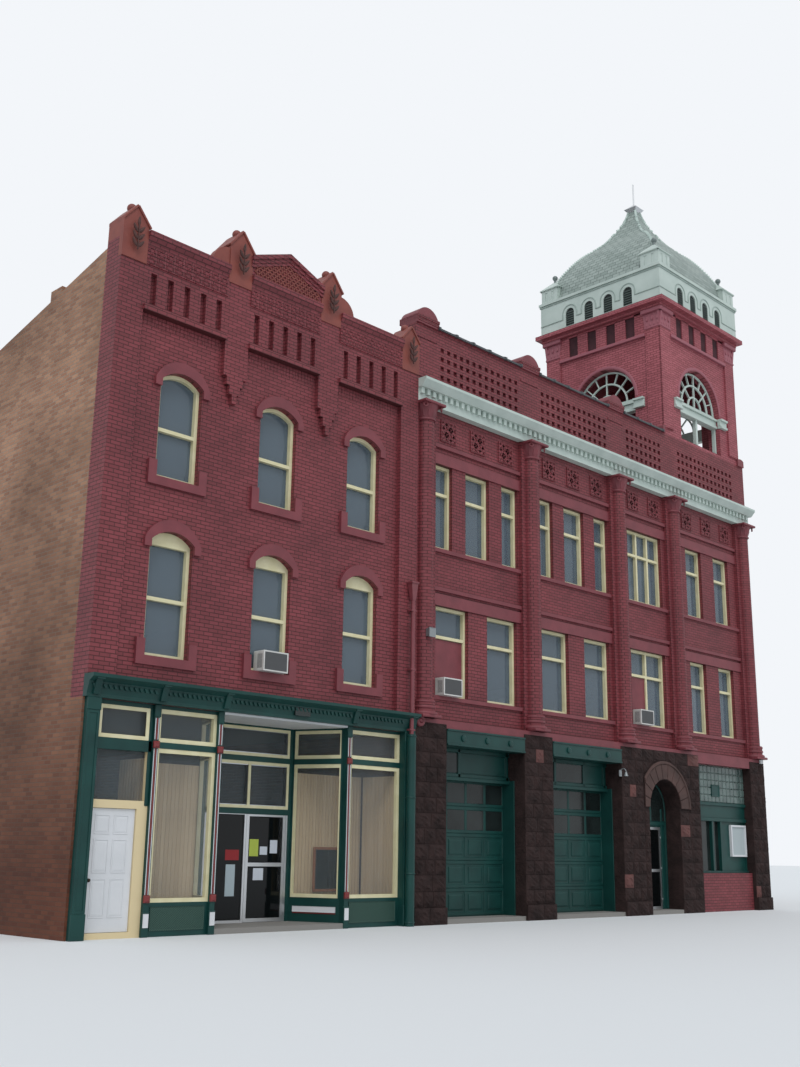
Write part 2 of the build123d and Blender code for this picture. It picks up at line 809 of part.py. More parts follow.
# Round shafts in front of the pilasters, on ringed bases
with BuildPart() as hall_shafts:
    for middle in pier_centres:
        with BuildSketch(plan(base_bottom)):
            with Locations((middle, 0)):
                Circle(shaft_radius * 1.3)
            rect(middle - hall_pilaster, middle + hall_pilaster, 0, hall_pilaster, mode=Mode.SUBTRACT)
        extrude(amount=base_top - base_bottom)
        with BuildSketch(plan(base_bottom)):
            with Locations((middle, 0)):
                Circle(shaft_radius)
            rect(middle - hall_pilaster, middle + hall_pilaster, 0, hall_pilaster, mode=Mode.SUBTRACT)
        extrude(amount=capital_bottom - base_bottom)
save(hall_shafts, "hall_shafts")

# Leafy capitals on the shafts
with BuildPart() as hall_capitals:
    for middle in pier_centres:
        with BuildSketch(plan(capital_bottom)):
            with Locations((middle, 0)):
                Circle(shaft_radius * 1.05)
            rect(middle - hall_pilaster, middle + hall_pilaster, 0, hall_pilaster, mode=Mode.SUBTRACT)
        with BuildSketch(plan(capital_top)):
            with Locations((middle, 0)):
                Circle(shaft_radius * 1.6)
            rect(middle - hall_pilaster, middle + hall_pilaster, 0, hall_pilaster, mode=Mode.SUBTRACT)
        loft()
save(hall_capitals, "hall_capitals")

clear_spans = [(pier_edges(a)[1], pier_edges(b)[0]) for a, b in hall_bays]

# String courses and sills between the pilasters
with BuildPart() as hall_strings:
    for start, end in clear_spans:
        for top in (sill_2, string_2 + band_height, sill_3, string_3 + band_height):
            block(start, end, hall_recess - band_projection, hall_recess, top - band_height, top)
    block(office_width, total_width, -stone_projection, hall_recess, stone_top, base_string)
    for start, end in garage_spans:
        block(start, end, -stone_projection, hall_back, beam_top, stone_top)
    block(*shop_bay, -stone_projection, hall_back, shop_head, stone_top)
save(hall_strings, "hall_strings")

# Rough stone lintels over the windows
with BuildPart() as hall_lintels:
    with BuildSketch(elevation(hall_recess)):
        for start, end in clear_spans:
            rect(start, end, head_2, lintel_2)
            rect(start, end, head_3, lintel_3)
    extrude(amount=40)
save(hall_lintels, "hall_lintels")


def hall_frame(middle, width, sill, head):
    bars = 3 if width == triple_window and sill == sill_3 else 2 if width == triple_window else 1
    half = width / 2
    transom = sill + (head - sill) * 0.66
    pane = (width - frame_bar) / bars
    rect(middle - half, middle + half, sill, head)
    for n in range(bars):
        start = middle - half + frame_bar + n * pane
        end = start + pane - frame_bar
        rect(start, end, sill + frame_bar, transom - frame_bar / 2, mode=Mode.SUBTRACT)
        rect(start, end, transom + frame_bar / 2, head - frame_bar, mode=Mode.SUBTRACT)


# Window frames of the hall's two upper storeys
with BuildPart() as hall_frames:
    with BuildSketch(elevation(hall_recess + frame_setback)):
        for middle, width in second_windows:
            hall_frame(middle, width, sill_2, head_2)
    extrude(amount=-frame_depth)
    with BuildSketch(elevation(hall_recess + frame_setback)):
        for middle, width in third_windows:
            hall_frame(middle, width, sill_3, head_3)
    extrude(amount=-frame_depth)
save(hall_frames, "hall_frames")

# Panes behind the sashes of the office and the frames of the hall
with BuildPart() as front_glass:
    with BuildSketch(elevation(frame_setback + frame_depth)):
        for middle in office_windows:
            for sill, spring in office_rows:
                arched(middle, office_window, sill, spring, office_head_rise)
    extrude(amount=-glass_thickness)
    with BuildSketch(elevation(hall_recess + frame_setback + frame_depth)):
        for middle, width in second_windows:
            rect(middle - width / 2, middle + width / 2, sill_2, head_2)
        for middle, width in third_windows:
            rect(middle - width / 2, middle + width / 2, sill_3, head_3)
    extrude(amount=-glass_thickness)
save(front_glass, "front_glass")

# Pale cornice with its dentils
with BuildPart() as hall_cornice:
    with BuildSketch(section(office_width)):
        outline((hall_recess, cornice_bottom), (hall_recess, cornice_top), (-cornice_projection, cornice_top),
                (-cornice_projection, cornice_top - 60), (-cornice_projection * 0.6, dentil_top),
                (-cornice_projection * 0.25, dentil_top), (-cornice_projection * 0.25, cornice_bottom))
    extrude(amount=hall_width)
    with BuildSketch(elevation(-cornice_projection * 0.25)):
        count = int(hall_width / dentil_pitch)
        for n in range(count):
            start = office_width + (n + 0.5) * dentil_pitch - dentil_width / 2
            rect(start, start + dentil_width, dentil_bottom, dentil_top)
    extrude(amount=cornice_projection * 0.2)
save(hall_cornice, "hall_cornice")

# Parapet with its grids of square recesses
with BuildPart() as hall_parapet:
    block(office_width, total_width, 0, hall_back, cornice_top, parapet_top)
    with BuildSketch(elevation(0)):
        for start, end in clear_spans:
            columns = int((end - start) / grid_pitch)
            middle = (start + end) / 2
            with Locations((middle, grid_bottom + grid_rows * grid_pitch / 2)):
                with GridLocations(grid_pitch, grid_pitch, columns, grid_rows):
                    Rectangle(grid_hole, grid_hole)
    extrude(amount=-grid_depth, mode=Mode.SUBTRACT)
save(hall_parapet, "hall_parapet")

def pier_cap(start, end, rise):
    """A block with a domed top across the parapet."""
    with BuildSketch(elevation(-cap_projection)) as dome:
        arched((start + end) / 2, end - start, parapet_top, pier_top, rise)
    extrude(dome.sketch, amount=-(hall_back + cap_projection))


tower_left = tower_centre - tower_width / 2
tower_right = tower_centre + tower_width / 2
tower_mid_y = tower_width / 2

# Ridged coping of the parapet, with domed caps on the piers and beside the tower
with BuildPart() as hall_coping:
    for start, end in clear_spans[:3]:
        with BuildSketch(section(start)):
            outline((-cap_projection, parapet_top), (hall_back, parapet_top), (hall_back, parapet_top + 40),
                    (hall_back / 2, parapet_top + 130), (-cap_projection, parapet_top + 40))
        extrude(amount=end - start)
    for middle in pier_centres[:3]:
        pier_cap(*pier_edges(middle), cap_rise)
    pier_cap(pier_edges(pier_centres[3])[0], tower_left, shoulder_rise)
    pier_cap(tower_right, total_width, shoulder_rise)
save(hall_coping, "hall_coping")

# Right wall and rear wall of the hall, with rows of plain windows
with BuildPart() as hall_right_wall:
    near = hall_back
    with BuildSketch(section(total_width - side_wall)):
        rect(near, depth - rear_wall, 0, hall_rear_top)
        rear_openings(near, depth - rear_wall, hall_rear_rows[1:], hall_side_count, wide_window, 0)
    extrude(amount=side_wall)
save(hall_right_wall, "hall_right_wall")

with BuildPart() as hall_rear_wall:
    with BuildSketch(elevation(depth - rear_wall)):
        rect(office_width, total_width, 0, hall_rear_top)
        rear_openings(office_width, total_width, hall_rear_rows, hall_rear_count, second_window, 0)
    extrude(amount=-rear_wall)
save(hall_rear_wall, "hall_rear_wall")

# Frames and glass of the side and rear windows
with BuildPart() as plain_windows:
    with BuildSketch(elevation(depth - frame_setback)):
        pitch = office_width / office_rear_count
        for n in range(office_rear_count):
            for sill, spring in office_rear_rows:
                arched((n + 0.5) * pitch, office_window, sill, spring, rear_window_rise)
        pitch = hall_width / hall_rear_count
        for n in range(hall_rear_count):
            middle = office_width + (n + 0.5) * pitch
            for sill, head in hall_rear_rows:
                rect(middle - second_window / 2, middle + second_window / 2, sill, head)
    extrude(amount=frame_depth)
    near = hall_back
    with BuildSketch(section(total_width - frame_setback)):
        pitch = (depth - rear_wall - near) / hall_side_count
        for n in range(hall_side_count):
            middle = near + (n + 0.5) * pitch
            for sill, head in hall_rear_rows[1:]:
                rect(middle - wide_window / 2, middle + wide_window / 2, sill, head)
    extrude(amount=-frame_depth)
save(plain_windows, "plain_windows")

# Tower: four arched walls, corner strips, string and slots
def tower_outline(middle, start, end, bottom):
    rect(start, end, bottom, tower_top)
    arched(middle, 2 * tower_arch, tower_sill, tower_spring, tower_arch, mode=Mode.SUBTRACT)


with BuildPart() as tower_front_wall:
    with BuildSketch(elevation(0)):
        tower_outline(tower_centre, tower_left, tower_right, parapet_top)
    extrude(amount=-tower_wall)
save(tower_front_wall, "tower_front_wall")

with BuildPart() as tower_rear_wall:
    with BuildSketch(elevation(tower_width - tower_wall)):
        tower_outline(tower_centre, tower_left, tower_right, hall_roof)
    extrude(amount=-tower_wall)
save(tower_rear_wall, "tower_rear_wall")

for name, start in (("tower_left_wall", tower_left), ("tower_right_wall", tower_right - tower_wall)):
    with BuildPart() as tower_side:
        with BuildSketch(section(start)):
            tower_outline(tower_mid_y, tower_wall, tower_width - tower_wall, parapet_top)
            rect(hall_back, tower_width - tower_wall, hall_roof, parapet_top)
        extrude(amount=tower_wall)
    save(tower_side, name)

with BuildPart() as tower_deck:
    block(tower_left + tower_wall, tower_right - tower_wall, hall_back, tower_width - tower_wall,
          parapet_top - belfry_floor, parapet_top)
save(tower_deck, "tower_deck")

with BuildPart() as tower_cornice:
    for z, out in ((tower_top, tower_cornice_projection * 0.5), (tower_top + 120, tower_cornice_projection)):
        block(tower_left - out, tower_right + out, -out, tower_width + out, z, z + 130)
save(tower_cornice, "tower_cornice")

# Pale stage under the roof, with its moulding and four corner turrets
with BuildPart() as tower_stage:
    out = stage_out
    block(tower_left - out, tower_right + out, -out, tower_width + out, tower_cornice_top, stage_top)
    out = stage_out + stage_moulding
    block(tower_left - out, tower_right + out, -out, tower_width + out, stage_top, roof_bottom)
    out = stage_out - stage_wall
    block(tower_left - out, tower_right + out, -out, tower_width + out, tower_cornice_top, roof_bottom,
          mode=Mode.SUBTRACT)
    for x in (tower_left - stage_out + turret_width / 2, tower_right + stage_out - turret_width / 2):
        for y in (-stage_out + turret_width / 2, tower_width + stage_out - turret_width / 2):
            with BuildSketch(plan(roof_bottom)):
                with Locations((x, y)):
                    Rectangle(turret_width, turret_width)
            extrude(amount=turret_top - roof_bottom)
            with BuildSketch(plan(turret_top)):
                with Locations((x, y)):
                    Rectangle(turret_width + 100, turret_width + 100)
            extrude(amount=turret_peak - turret_top, taper=45)
save(tower_stage, "tower_stage")

roof_curve = [(2180, roof_bottom), (1840, 20080), (1570, 20530), (1250, 20930), (745, 21400),
              (430, 21910), (200, 22370), (140, cap_bottom)]


def ogee_solid(shrink, plane, run):
    """A prism whose section is the ogee outline, for one direction of the square roof."""
    points = [(max(half - shrink, 20), z) for half, z in roof_curve]
    with BuildSketch(plane) as ogee:
        with BuildLine():
            Spline(*points)
            Line(points[-1], (-points[-1][0], points[-1][1]))
            Spline(*[(-half, z) for half, z in reversed(points)])
            Line((-points[0][0], points[0][1]), points[0])
        make_face()
    extrude(ogee.sketch, amount=run, both=True)


roof_front = Plane(origin=at(tower_centre, tower_mid_y, 0), x_dir=(1, 0, 0), z_dir=(0, -1, 0))
roof_side = Plane(origin=at(tower_centre, tower_mid_y, 0), x_dir=(0, 1, 0), z_dir=(1, 0, 0))
with BuildPart() as prism_x:
    ogee_solid(0, roof_front, tower_width)
with BuildPart() as prism_y:
    ogee_solid(0, roof_side, tower_width)
with BuildPart() as inner_x:
    ogee_solid(roof_shell, roof_front, tower_width)
with BuildPart() as inner_y:
    ogee_solid(roof_shell, roof_side, tower_width)
with BuildPart() as roof_void:
    add(inner_x.part)
    add(inner_y.part, mode=Mode.INTERSECT)
with BuildPart() as tower_roof:
    add(prism_x.part)
    add(prism_y.part, mode=Mode.INTERSECT)
    add(roof_void.part, mode=Mode.SUBTRACT)
    add(tower_stage.part, mode=Mode.SUBTRACT)
save(tower_roof, "tower_roof")

with BuildPart() as roof_cap:
    with BuildSketch(plan(cap_bottom)):
        with Locations((tower_centre, tower_mid_y)):
            Rectangle(280, 280)
    with BuildSketch(plan(cap_bottom + 120)):
        with Locations((tower_centre, tower_mid_y)):
            Rectangle(480, 480)
    loft()
    with BuildSketch(plan(cap_bottom + 120)):
        with Locations((tower_centre, tower_mid_y)):
            Rectangle(480, 480)
    extrude(amount=200, taper=48)
    with BuildSketch(plan(cap_bottom + 120)):
        with Locations((tower_centre, tower_mid_y)):
            Circle(25)
    extrude(amount=finial_top - cap_bottom - 120)
save(roof_cap, "roof_cap")
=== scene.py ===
# A village hall: a brick office with a shopfront on the left, joined to a hall with engine bays and a
# square tower with a slate roof. Lengths are in metres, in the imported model's frame.
import bpy
import random
from math import atan2, cos, pi, radians, sin
from mathutils import Matrix, Vector


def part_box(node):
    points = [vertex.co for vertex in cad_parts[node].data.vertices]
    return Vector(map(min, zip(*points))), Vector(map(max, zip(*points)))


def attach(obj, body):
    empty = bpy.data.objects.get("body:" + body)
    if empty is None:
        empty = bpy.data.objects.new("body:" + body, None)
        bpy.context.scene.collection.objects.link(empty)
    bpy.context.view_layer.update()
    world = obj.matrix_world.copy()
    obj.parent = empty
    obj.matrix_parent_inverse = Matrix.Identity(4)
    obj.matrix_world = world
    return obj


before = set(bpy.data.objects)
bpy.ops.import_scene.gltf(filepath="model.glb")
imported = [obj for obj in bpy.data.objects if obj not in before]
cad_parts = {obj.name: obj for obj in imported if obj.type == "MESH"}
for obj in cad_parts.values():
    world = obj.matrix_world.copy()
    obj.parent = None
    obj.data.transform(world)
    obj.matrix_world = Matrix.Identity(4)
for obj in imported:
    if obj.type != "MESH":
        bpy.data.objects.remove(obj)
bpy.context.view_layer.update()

scene = bpy.context.scene
scene.view_settings.view_transform = "Standard"

# The camera stands on the pavement to the left and looks up at the tower. Its place and turn come
# from the photograph's vanishing lines, and its lens from the same fit.
pan = radians(45.414)
tilt = radians(14.704)
roll = radians(0.846)
ahead = Vector((sin(pan) * cos(tilt), cos(pan) * cos(tilt), sin(tilt)))
level = Vector((cos(pan), -sin(pan), 0))
upright = level.cross(ahead)
right = cos(roll) * level + sin(roll) * upright
up = cos(roll) * upright - sin(roll) * level
camera = bpy.data.objects.new("camera", bpy.data.cameras.new("camera"))
film_height = 36
focal_pixels = 1213.78
photo_height = 1067
camera.data.lens = film_height * focal_pixels / photo_height
camera.data.sensor_width = film_height
camera.data.clip_end = 500
turn = Matrix((right, up, -ahead)).transposed().to_4x4()
eye = (-22.716, -25.407, 1.482)
camera.matrix_world = Matrix.Translation(eye) @ turn
scene.collection.objects.link(camera)
scene.camera = camera


# The studio: an even pale sky with one soft lamp from the street side, as on an overcast day, and a
# pale floor that takes the building's shadow.


def linear(hex_colour):
    """A colour as picked on a screen, turned into the linear values that the shaders take."""
    parts = [int(hex_colour[n:n + 2], 16) / 255 for n in (1, 3, 5)]
    return [c / 12.92 if c <= 0.04045 else ((c + 0.055) / 1.055) ** 2.4 for c in parts] + [1]


def add_node(tree, kind, links=None, **settings):
    """Adds a node: settings are its own, and links feed its inputs with values or other outputs."""
    node = tree.nodes.new("ShaderNode" + kind)
    for name, value in settings.items():
        setattr(node, name, value)
    for socket, value in (links or {}).items():
        if isinstance(value, bpy.types.NodeSocket):
            tree.links.new(value, node.inputs[socket])
        else:
            node.inputs[socket].default_value = value
    return node


world = bpy.data.worlds.new("overcast sky")
world.use_nodes = True
world.node_tree.nodes.clear()
scene.world = world
rays = add_node(world.node_tree, "LightPath")
seen = add_node(world.node_tree, "Math", {0: rays.outputs["Is Camera Ray"], 1: rays.outputs["Is Glossy Ray"]},
                operation="MAXIMUM")
seen = add_node(world.node_tree, "Math", {0: seen.outputs[0], 1: rays.outputs["Is Transmission Ray"]},
                operation="MAXIMUM")
light = add_node(world.node_tree, "Background", {"Color": linear("#e8eef6"), "Strength": 0.85})
backdrop = add_node(world.node_tree, "Background", {"Color": linear("#f3f6fa"), "Strength": 1.0})
sky = add_node(world.node_tree, "MixShader",
               {0: seen.outputs[0], 1: light.outputs[0], 2: backdrop.outputs[0]})
add_node(world.node_tree, "OutputWorld", {"Surface": sky.outputs[0]})

lamp = bpy.data.objects.new("soft sun", bpy.data.lights.new("soft sun", "SUN"))
lamp.data.energy = 1.1
lamp.data.angle = radians(25)
lamp.rotation_euler = (radians(42), 0, radians(-38))
scene.collection.objects.link(lamp)

bpy.ops.object.select_all(action="DESELECT")
bpy.ops.mesh.primitive_plane_add(size=400)
floor = bpy.context.object
floor.name = "studio_floor"
pale_floor = bpy.data.materials.new("pale studio floor")
pale_floor.use_nodes = True
floor_shader = pale_floor.node_tree.nodes["Principled BSDF"]
floor_shader.inputs["Base Color"].default_value = linear("#dfe1e1")
floor_shader.inputs["Roughness"].default_value = 0.9
floor.data.materials.append(pale_floor)

# Brick front walls: common bricks laid in running bond and painted maroon many times over. The paint
# has filled the joints by half, so courses show as soft shadow lines, and it has faded in patches.


def new_material(name, **sockets):
    """A named material with its Principled shader set, and that shader's node tree."""
    material = bpy.data.materials.new(name)
    material.use_nodes = True
    shader = material.node_tree.nodes["Principled BSDF"]
    for socket, value in sockets.items():
        shader.inputs[socket.replace("_", " ")].default_value = value
    return material, material.node_tree, shader


def dress(material, *names):
    """Gives CAD nodes their finish."""
    for name in names:
        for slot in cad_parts[name].material_slots:
            slot.material = material


def wall_vector(tree):
    """Runs across a wall, whichever way it faces, and up: Object coordinates picked by its direction."""
    place = add_node(tree, "TexCoord")
    along = add_node(tree, "SeparateXYZ", {"Vector": place.outputs["Object"]})
    facing = add_node(tree, "SeparateXYZ", {"Vector": place.outputs["Normal"]})
    sideways = add_node(tree, "Math", {0: facing.outputs["X"]}, operation="ABSOLUTE")
    frontal = add_node(tree, "Math", {0: facing.outputs["Y"]}, operation="ABSOLUTE")
    turned = add_node(tree, "Math", {0: sideways.outputs[0], 1: frontal.outputs[0]}, operation="GREATER_THAN")
    across = add_node(tree, "Mix", {0: turned.outputs[0], 2: along.outputs["X"], 3: along.outputs["Y"]})
    return add_node(tree, "CombineXYZ", {"X": across.outputs[0], "Y": along.outputs["Z"]}).outputs[0]


def blotches(tree, dark, pale, size, detail=4, contrast=0.5):
    """Two shades of one colour in soft patches of about that size, as paint and stone weather."""
    place = add_node(tree, "TexCoord").outputs["Object"]
    noise = add_node(tree, "TexNoise", {"Vector": place, "Scale": 1 / size, "Detail": detail})
    ramp = add_node(tree, "MapRange", {"Value": noise.outputs[0], "From Min": 0.5 - contrast / 2,
                                       "From Max": 0.5 + contrast / 2})
    return add_node(tree, "Mix", {0: ramp.outputs[0], 6: linear(dark), 7: linear(pale)},
                    data_type="RGBA").outputs[2]


brick_course = 0.0755
brick_length = 0.215
joint = 0.009


def painted_brick(name, dark, pale, joint_shade):
    """A painted brick wall: two shades of the paint, and the shade that shows in its joints."""
    material, tree, shader = new_material(name, Roughness=0.62)
    bricks = add_node(tree, "TexBrick", {
        "Vector": wall_vector(tree), "Color1": linear("#ffffff"), "Color2": linear("#dcd2d2"),
        "Mortar": linear(joint_shade), "Scale": 1, "Mortar Size": joint, "Mortar Smooth": 0.35,
        "Bias": -0.2, "Brick Width": brick_length, "Row Height": brick_course})
    paint = blotches(tree, dark, pale, 1.7, contrast=0.45)
    grain = add_node(tree, "TexNoise", {"Vector": add_node(tree, "TexCoord").outputs["Object"], "Scale": 55,
                                        "Detail": 3})
    colour = add_node(tree, "Mix", {0: 1, 6: paint, 7: bricks.outputs["Color"]}, data_type="RGBA",
                      blend_type="MULTIPLY")
    rough = add_node(tree, "Math", {0: grain.outputs[0], 1: 0.35}, operation="MULTIPLY")
    height = add_node(tree, "Math", {0: rough.outputs[0], 1: bricks.outputs["Fac"]}, operation="SUBTRACT")
    bump = add_node(tree, "Bump", {"Height": height.outputs[0], "Distance": 0.009, "Strength": 0.8})
    tree.links.new(colour.outputs[2], shader.inputs["Base Color"])
    tree.links.new(bump.outputs[0], shader.inputs["Normal"])
    return material


maroon_brick = painted_brick("maroon paint on brick", "#702c33", "#873b41", "#967a7c")
dress(maroon_brick, "office_front_wall", "office_corbels", "office_frieze", "hall_front_wall", "hall_parapet",
      "hall_shafts", "shop_base")
# The tower's brick takes a lighter copy of the same maroon paint: painted sunlight.
sunlit_brick = painted_brick("maroon paint on brick with painted sunlight", "#94464f", "#ad5c64", "#a88286")
dress(sunlit_brick, "tower_left_wall", "tower_front_wall", "tower_rear_wall", "tower_right_wall",
      "tower_cornice")

# Side and rear walls: bare tan brick with sandy mortar, mixed brown and orange bricks and soot, darker and
# redder towards the ground.
common_brick, tree, shader = new_material("bare tan brick", Roughness=0.85)
bricks = add_node(tree, "TexBrick", {
    "Vector": wall_vector(tree), "Color1": linear("#b5896c"), "Color2": linear("#936750"),
    "Mortar": linear("#9a8878"), "Scale": 1, "Mortar Size": joint, "Mortar Smooth": 0.3, "Bias": -0.1,
    "Brick Width": brick_length, "Row Height": brick_course})
soot = blotches(tree, "#a79f98", "#ffffff", 2.2)
colour = add_node(tree, "Mix", {0: 1, 6: bricks.outputs["Color"], 7: soot}, data_type="RGBA",
                  blend_type="MULTIPLY")
# The colour grows darker and redder towards the ground, by height alone.
raised = add_node(tree, "SeparateXYZ", {"Vector": add_node(tree, "TexCoord").outputs["Object"]})
lower_darkening = add_node(tree, "MapRange", {"Value": raised.outputs["Z"], "From Min": 1.0, "From Max": 7.5})
lower_darkening = add_node(tree, "Mix", {0: lower_darkening.outputs[0], 6: linear("#a27c6b"), 7: linear("#ffffff")},
                data_type="RGBA")
colour = add_node(tree, "Mix", {0: 1, 6: colour.outputs[2], 7: lower_darkening.outputs[2]}, data_type="RGBA",
                  blend_type="MULTIPLY")
height = add_node(tree, "Math", {0: 1, 1: bricks.outputs["Fac"]}, operation="SUBTRACT")
bump = add_node(tree, "Bump", {"Height": height.outputs[0], "Distance": 0.007, "Strength": 0.7})
tree.links.new(colour.outputs[2], shader.inputs["Base Color"])
tree.links.new(bump.outputs[0], shader.inputs["Normal"])
dress(common_brick, "office_left_wall", "office_rear_wall", "party_wall", "hall_right_wall", "hall_rear_wall")

# Hoods, sills, string courses and lintels: sandstone under the same maroon paint, a little lighter and
# more mauve than the brick because the paint lies on a smooth face.
mauve_trim, tree, shader = new_material("mauve paint on dressed stone", Roughness=0.55)
tree.links.new(blotches(tree, "#682c33", "#7d383f", 0.35), shader.inputs["Base Color"])
chisel = add_node(tree, "TexNoise", {"Vector": add_node(tree, "TexCoord").outputs["Object"], "Scale": 30,
                                     "Detail": 5})
bump = add_node(tree, "Bump", {"Height": chisel.outputs[0], "Distance": 0.006, "Strength": 0.6})
tree.links.new(bump.outputs[0], shader.inputs["Normal"])
dress(mauve_trim, "office_surrounds", "hall_strings", "hall_lintels", "hall_capitals", "hall_coping")

# Floors and roofs: concrete worn grey by feet, and decks under mineral-surfaced felt, laid in one colour
# and dull all over.
worn_concrete, tree, shader = new_material("worn concrete floor", Roughness=0.85,
                                           Base_Color=linear("#83807b"))
dress(worn_concrete, "floors", "tower_deck")
felt, tree, shader = new_material("mineral roofing felt", Roughness=0.9, Base_Color=linear("#6c6e6f"))
dress(felt, "roofs")

# Soldier courses of the office front: bricks set on end under each bay's string course, a little proud
# of the wall and painted with it. Places are measured from the left end of the street front.
left_end = Vector(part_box("office_left_wall")[0])


def add_block(across, deep, high):
    """A block by its spans in metres: from the left end, from the brick face inwards, from the ground."""
    bpy.ops.object.select_all(action="DESELECT")
    spans = (across, deep, high)
    middle = Vector([(low + top) / 2 for low, top in spans])
    bpy.ops.mesh.primitive_cube_add(size=1, location=left_end + middle)
    piece = bpy.context.object
    piece.scale = [top - low for low, top in spans]
    bpy.ops.object.transform_apply(location=True, rotation=False, scale=True)
    return piece


def apply_modifier(piece, kind, **settings):
    """Adds a modifier, sets it and applies it."""
    bpy.context.view_layer.objects.active = piece
    modifier = piece.modifiers.new(kind.lower(), kind)
    for name, value in settings.items():
        setattr(modifier, name, value)
    bpy.ops.object.modifier_apply(modifier=modifier.name)
    return piece


def soft_block(across, deep, high, edge=0.006):
    """A block with its edges worn round."""
    return apply_modifier(add_block(across, deep, high), "BEVEL", width=edge, segments=1)


def repeat(piece, count, step):
    """The same piece again and again, a step apart."""
    return apply_modifier(piece, "ARRAY", count=count, use_relative_offset=False, use_constant_offset=True,
                          constant_offset_displace=step)


def join_pieces(pieces):
    """One piece out of several."""
    bpy.ops.object.select_all(action="DESELECT")
    for piece in pieces:
        piece.select_set(True)
    bpy.context.view_layer.objects.active = pieces[0]
    bpy.ops.object.join()
    return pieces[0]


def fit_piece(piece, name, material, body="building"):
    """Names a finished piece, gives it its material and slot, and fixes it to its body."""
    piece.name = name
    piece.data.materials.clear()
    piece.data.materials.append(material)
    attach(piece, body)
    return piece


soldier_pitch = 0.084
office_bays = ((0.56, 2.51), (3.09, 5.01), (5.59, 7.54))
courses = []
for start, end in office_bays:
    brick = soft_block((start + 0.01, start + soldier_pitch - 0.004), (-0.007, 0.01), (11.075, 11.315), 0.004)
    courses.append(repeat(brick, int((end - start - 0.01) / soldier_pitch), (soldier_pitch, 0, 0)))
fit_piece(join_pieces(courses), "soldier_courses", maroon_brick)

# Clay blocks and tiles of the office's head: moulded terracotta, browner than the brick where the blocks
# have a thin worn coat of paint. The tiles of the frieze are painted with the wall: square, with a sunk
# border and a four-petalled flower in low relief.


def pick_faces(piece, wanted):
    """Goes into edit mode with only those faces selected whose middle and normal pass a test."""
    bpy.context.view_layer.objects.active = piece
    bpy.ops.object.mode_set(mode="EDIT")
    bpy.ops.mesh.select_mode(type="FACE")
    bpy.ops.mesh.select_all(action="DESELECT")
    bpy.ops.object.mode_set(mode="OBJECT")
    for face in piece.data.polygons:
        face.select = wanted(face.center, face.normal)
    bpy.ops.object.mode_set(mode="EDIT")


def sink_panel(piece, border, depth):
    """Insets a block's street face and pushes the inner part in, or out where depth is negative."""
    pick_faces(piece, lambda middle, normal: normal.y < -0.9)
    bpy.ops.mesh.inset(thickness=border, depth=0)
    bpy.ops.transform.translate(value=(0, depth, 0))
    bpy.ops.object.mode_set(mode="OBJECT")
    return piece


terracotta, tree, shader = new_material("moulded terracotta", Roughness=0.6)
tree.links.new(blotches(tree, "#6d332e", "#8a463a", 0.25, contrast=0.7), shader.inputs["Base Color"])
pores = add_node(tree, "TexNoise", {"Vector": add_node(tree, "TexCoord").outputs["Object"], "Scale": 40,
                                    "Detail": 6})
bump = add_node(tree, "Bump", {"Height": pores.outputs[0], "Distance": 0.005, "Strength": 0.6})
tree.links.new(bump.outputs[0], shader.inputs["Normal"])
dress(terracotta, "office_pinnacles")
tile_size = 0.196
tiles = []
for start, end in office_bays:
    count = int((end - start) / tile_size)
    pitch = (end - start) / count
    for row in range(2):
        low = 12.268 + row * 0.2
        tile = sink_panel(add_block((start + 0.003, start + pitch - 0.003), (-0.122, -0.09),
                                    (low, low + tile_size)), 0.022, 0.012)
        pick_faces(tile, lambda middle, normal: normal.y < -0.9 and middle.y > left_end.y - 0.118)
        bpy.ops.mesh.subdivide(number_cuts=3)
        centre = left_end + Vector((start + pitch / 2, 0, low + tile_size / 2))
        pick_faces(tile, lambda middle, normal: normal.y < -0.9 and middle.y > left_end.y - 0.118
                   and (abs(middle.x - centre.x) < 0.035) != (abs(middle.z - centre.z) < 0.035))
        bpy.ops.mesh.inset(thickness=0.006, depth=0.011, use_individual=True)
        bpy.ops.object.mode_set(mode="OBJECT")
        tiles.append(repeat(tile, count, (pitch, 0, 0)))
fit_piece(join_pieces(tiles), "frieze_tiles", maroon_brick)

# Lattice of the gable: thin clay bars that cross on the slant in the opening of the gable, cut off at its
# ends and along the raking bands.


def slice_off(piece, point, normal):
    """Cuts a piece along a plane, closes the cut and clears what lies on the normal's side."""
    bpy.ops.object.select_all(action="DESELECT")
    bpy.context.view_layer.objects.active = piece
    bpy.ops.object.mode_set(mode="EDIT")
    bpy.ops.mesh.select_all(action="SELECT")
    bpy.ops.mesh.bisect(plane_co=left_end + Vector(point), plane_no=normal, use_fill=True, clear_outer=True)
    bpy.ops.object.mode_set(mode="OBJECT")
    return piece


def to_origin(piece):
    """Moves a piece that was made round the left end's foot to the origin, where it can be turned."""
    piece.data.transform(Matrix.Translation(-left_end))
    return piece


def swing(piece, angle, axis, place):
    """Turns a piece about the origin, then moves it to its place from the left end's foot."""
    piece.data.transform(Matrix.Rotation(angle, 4, axis))
    piece.data.transform(Matrix.Translation(left_end + Vector(place)))
    return piece


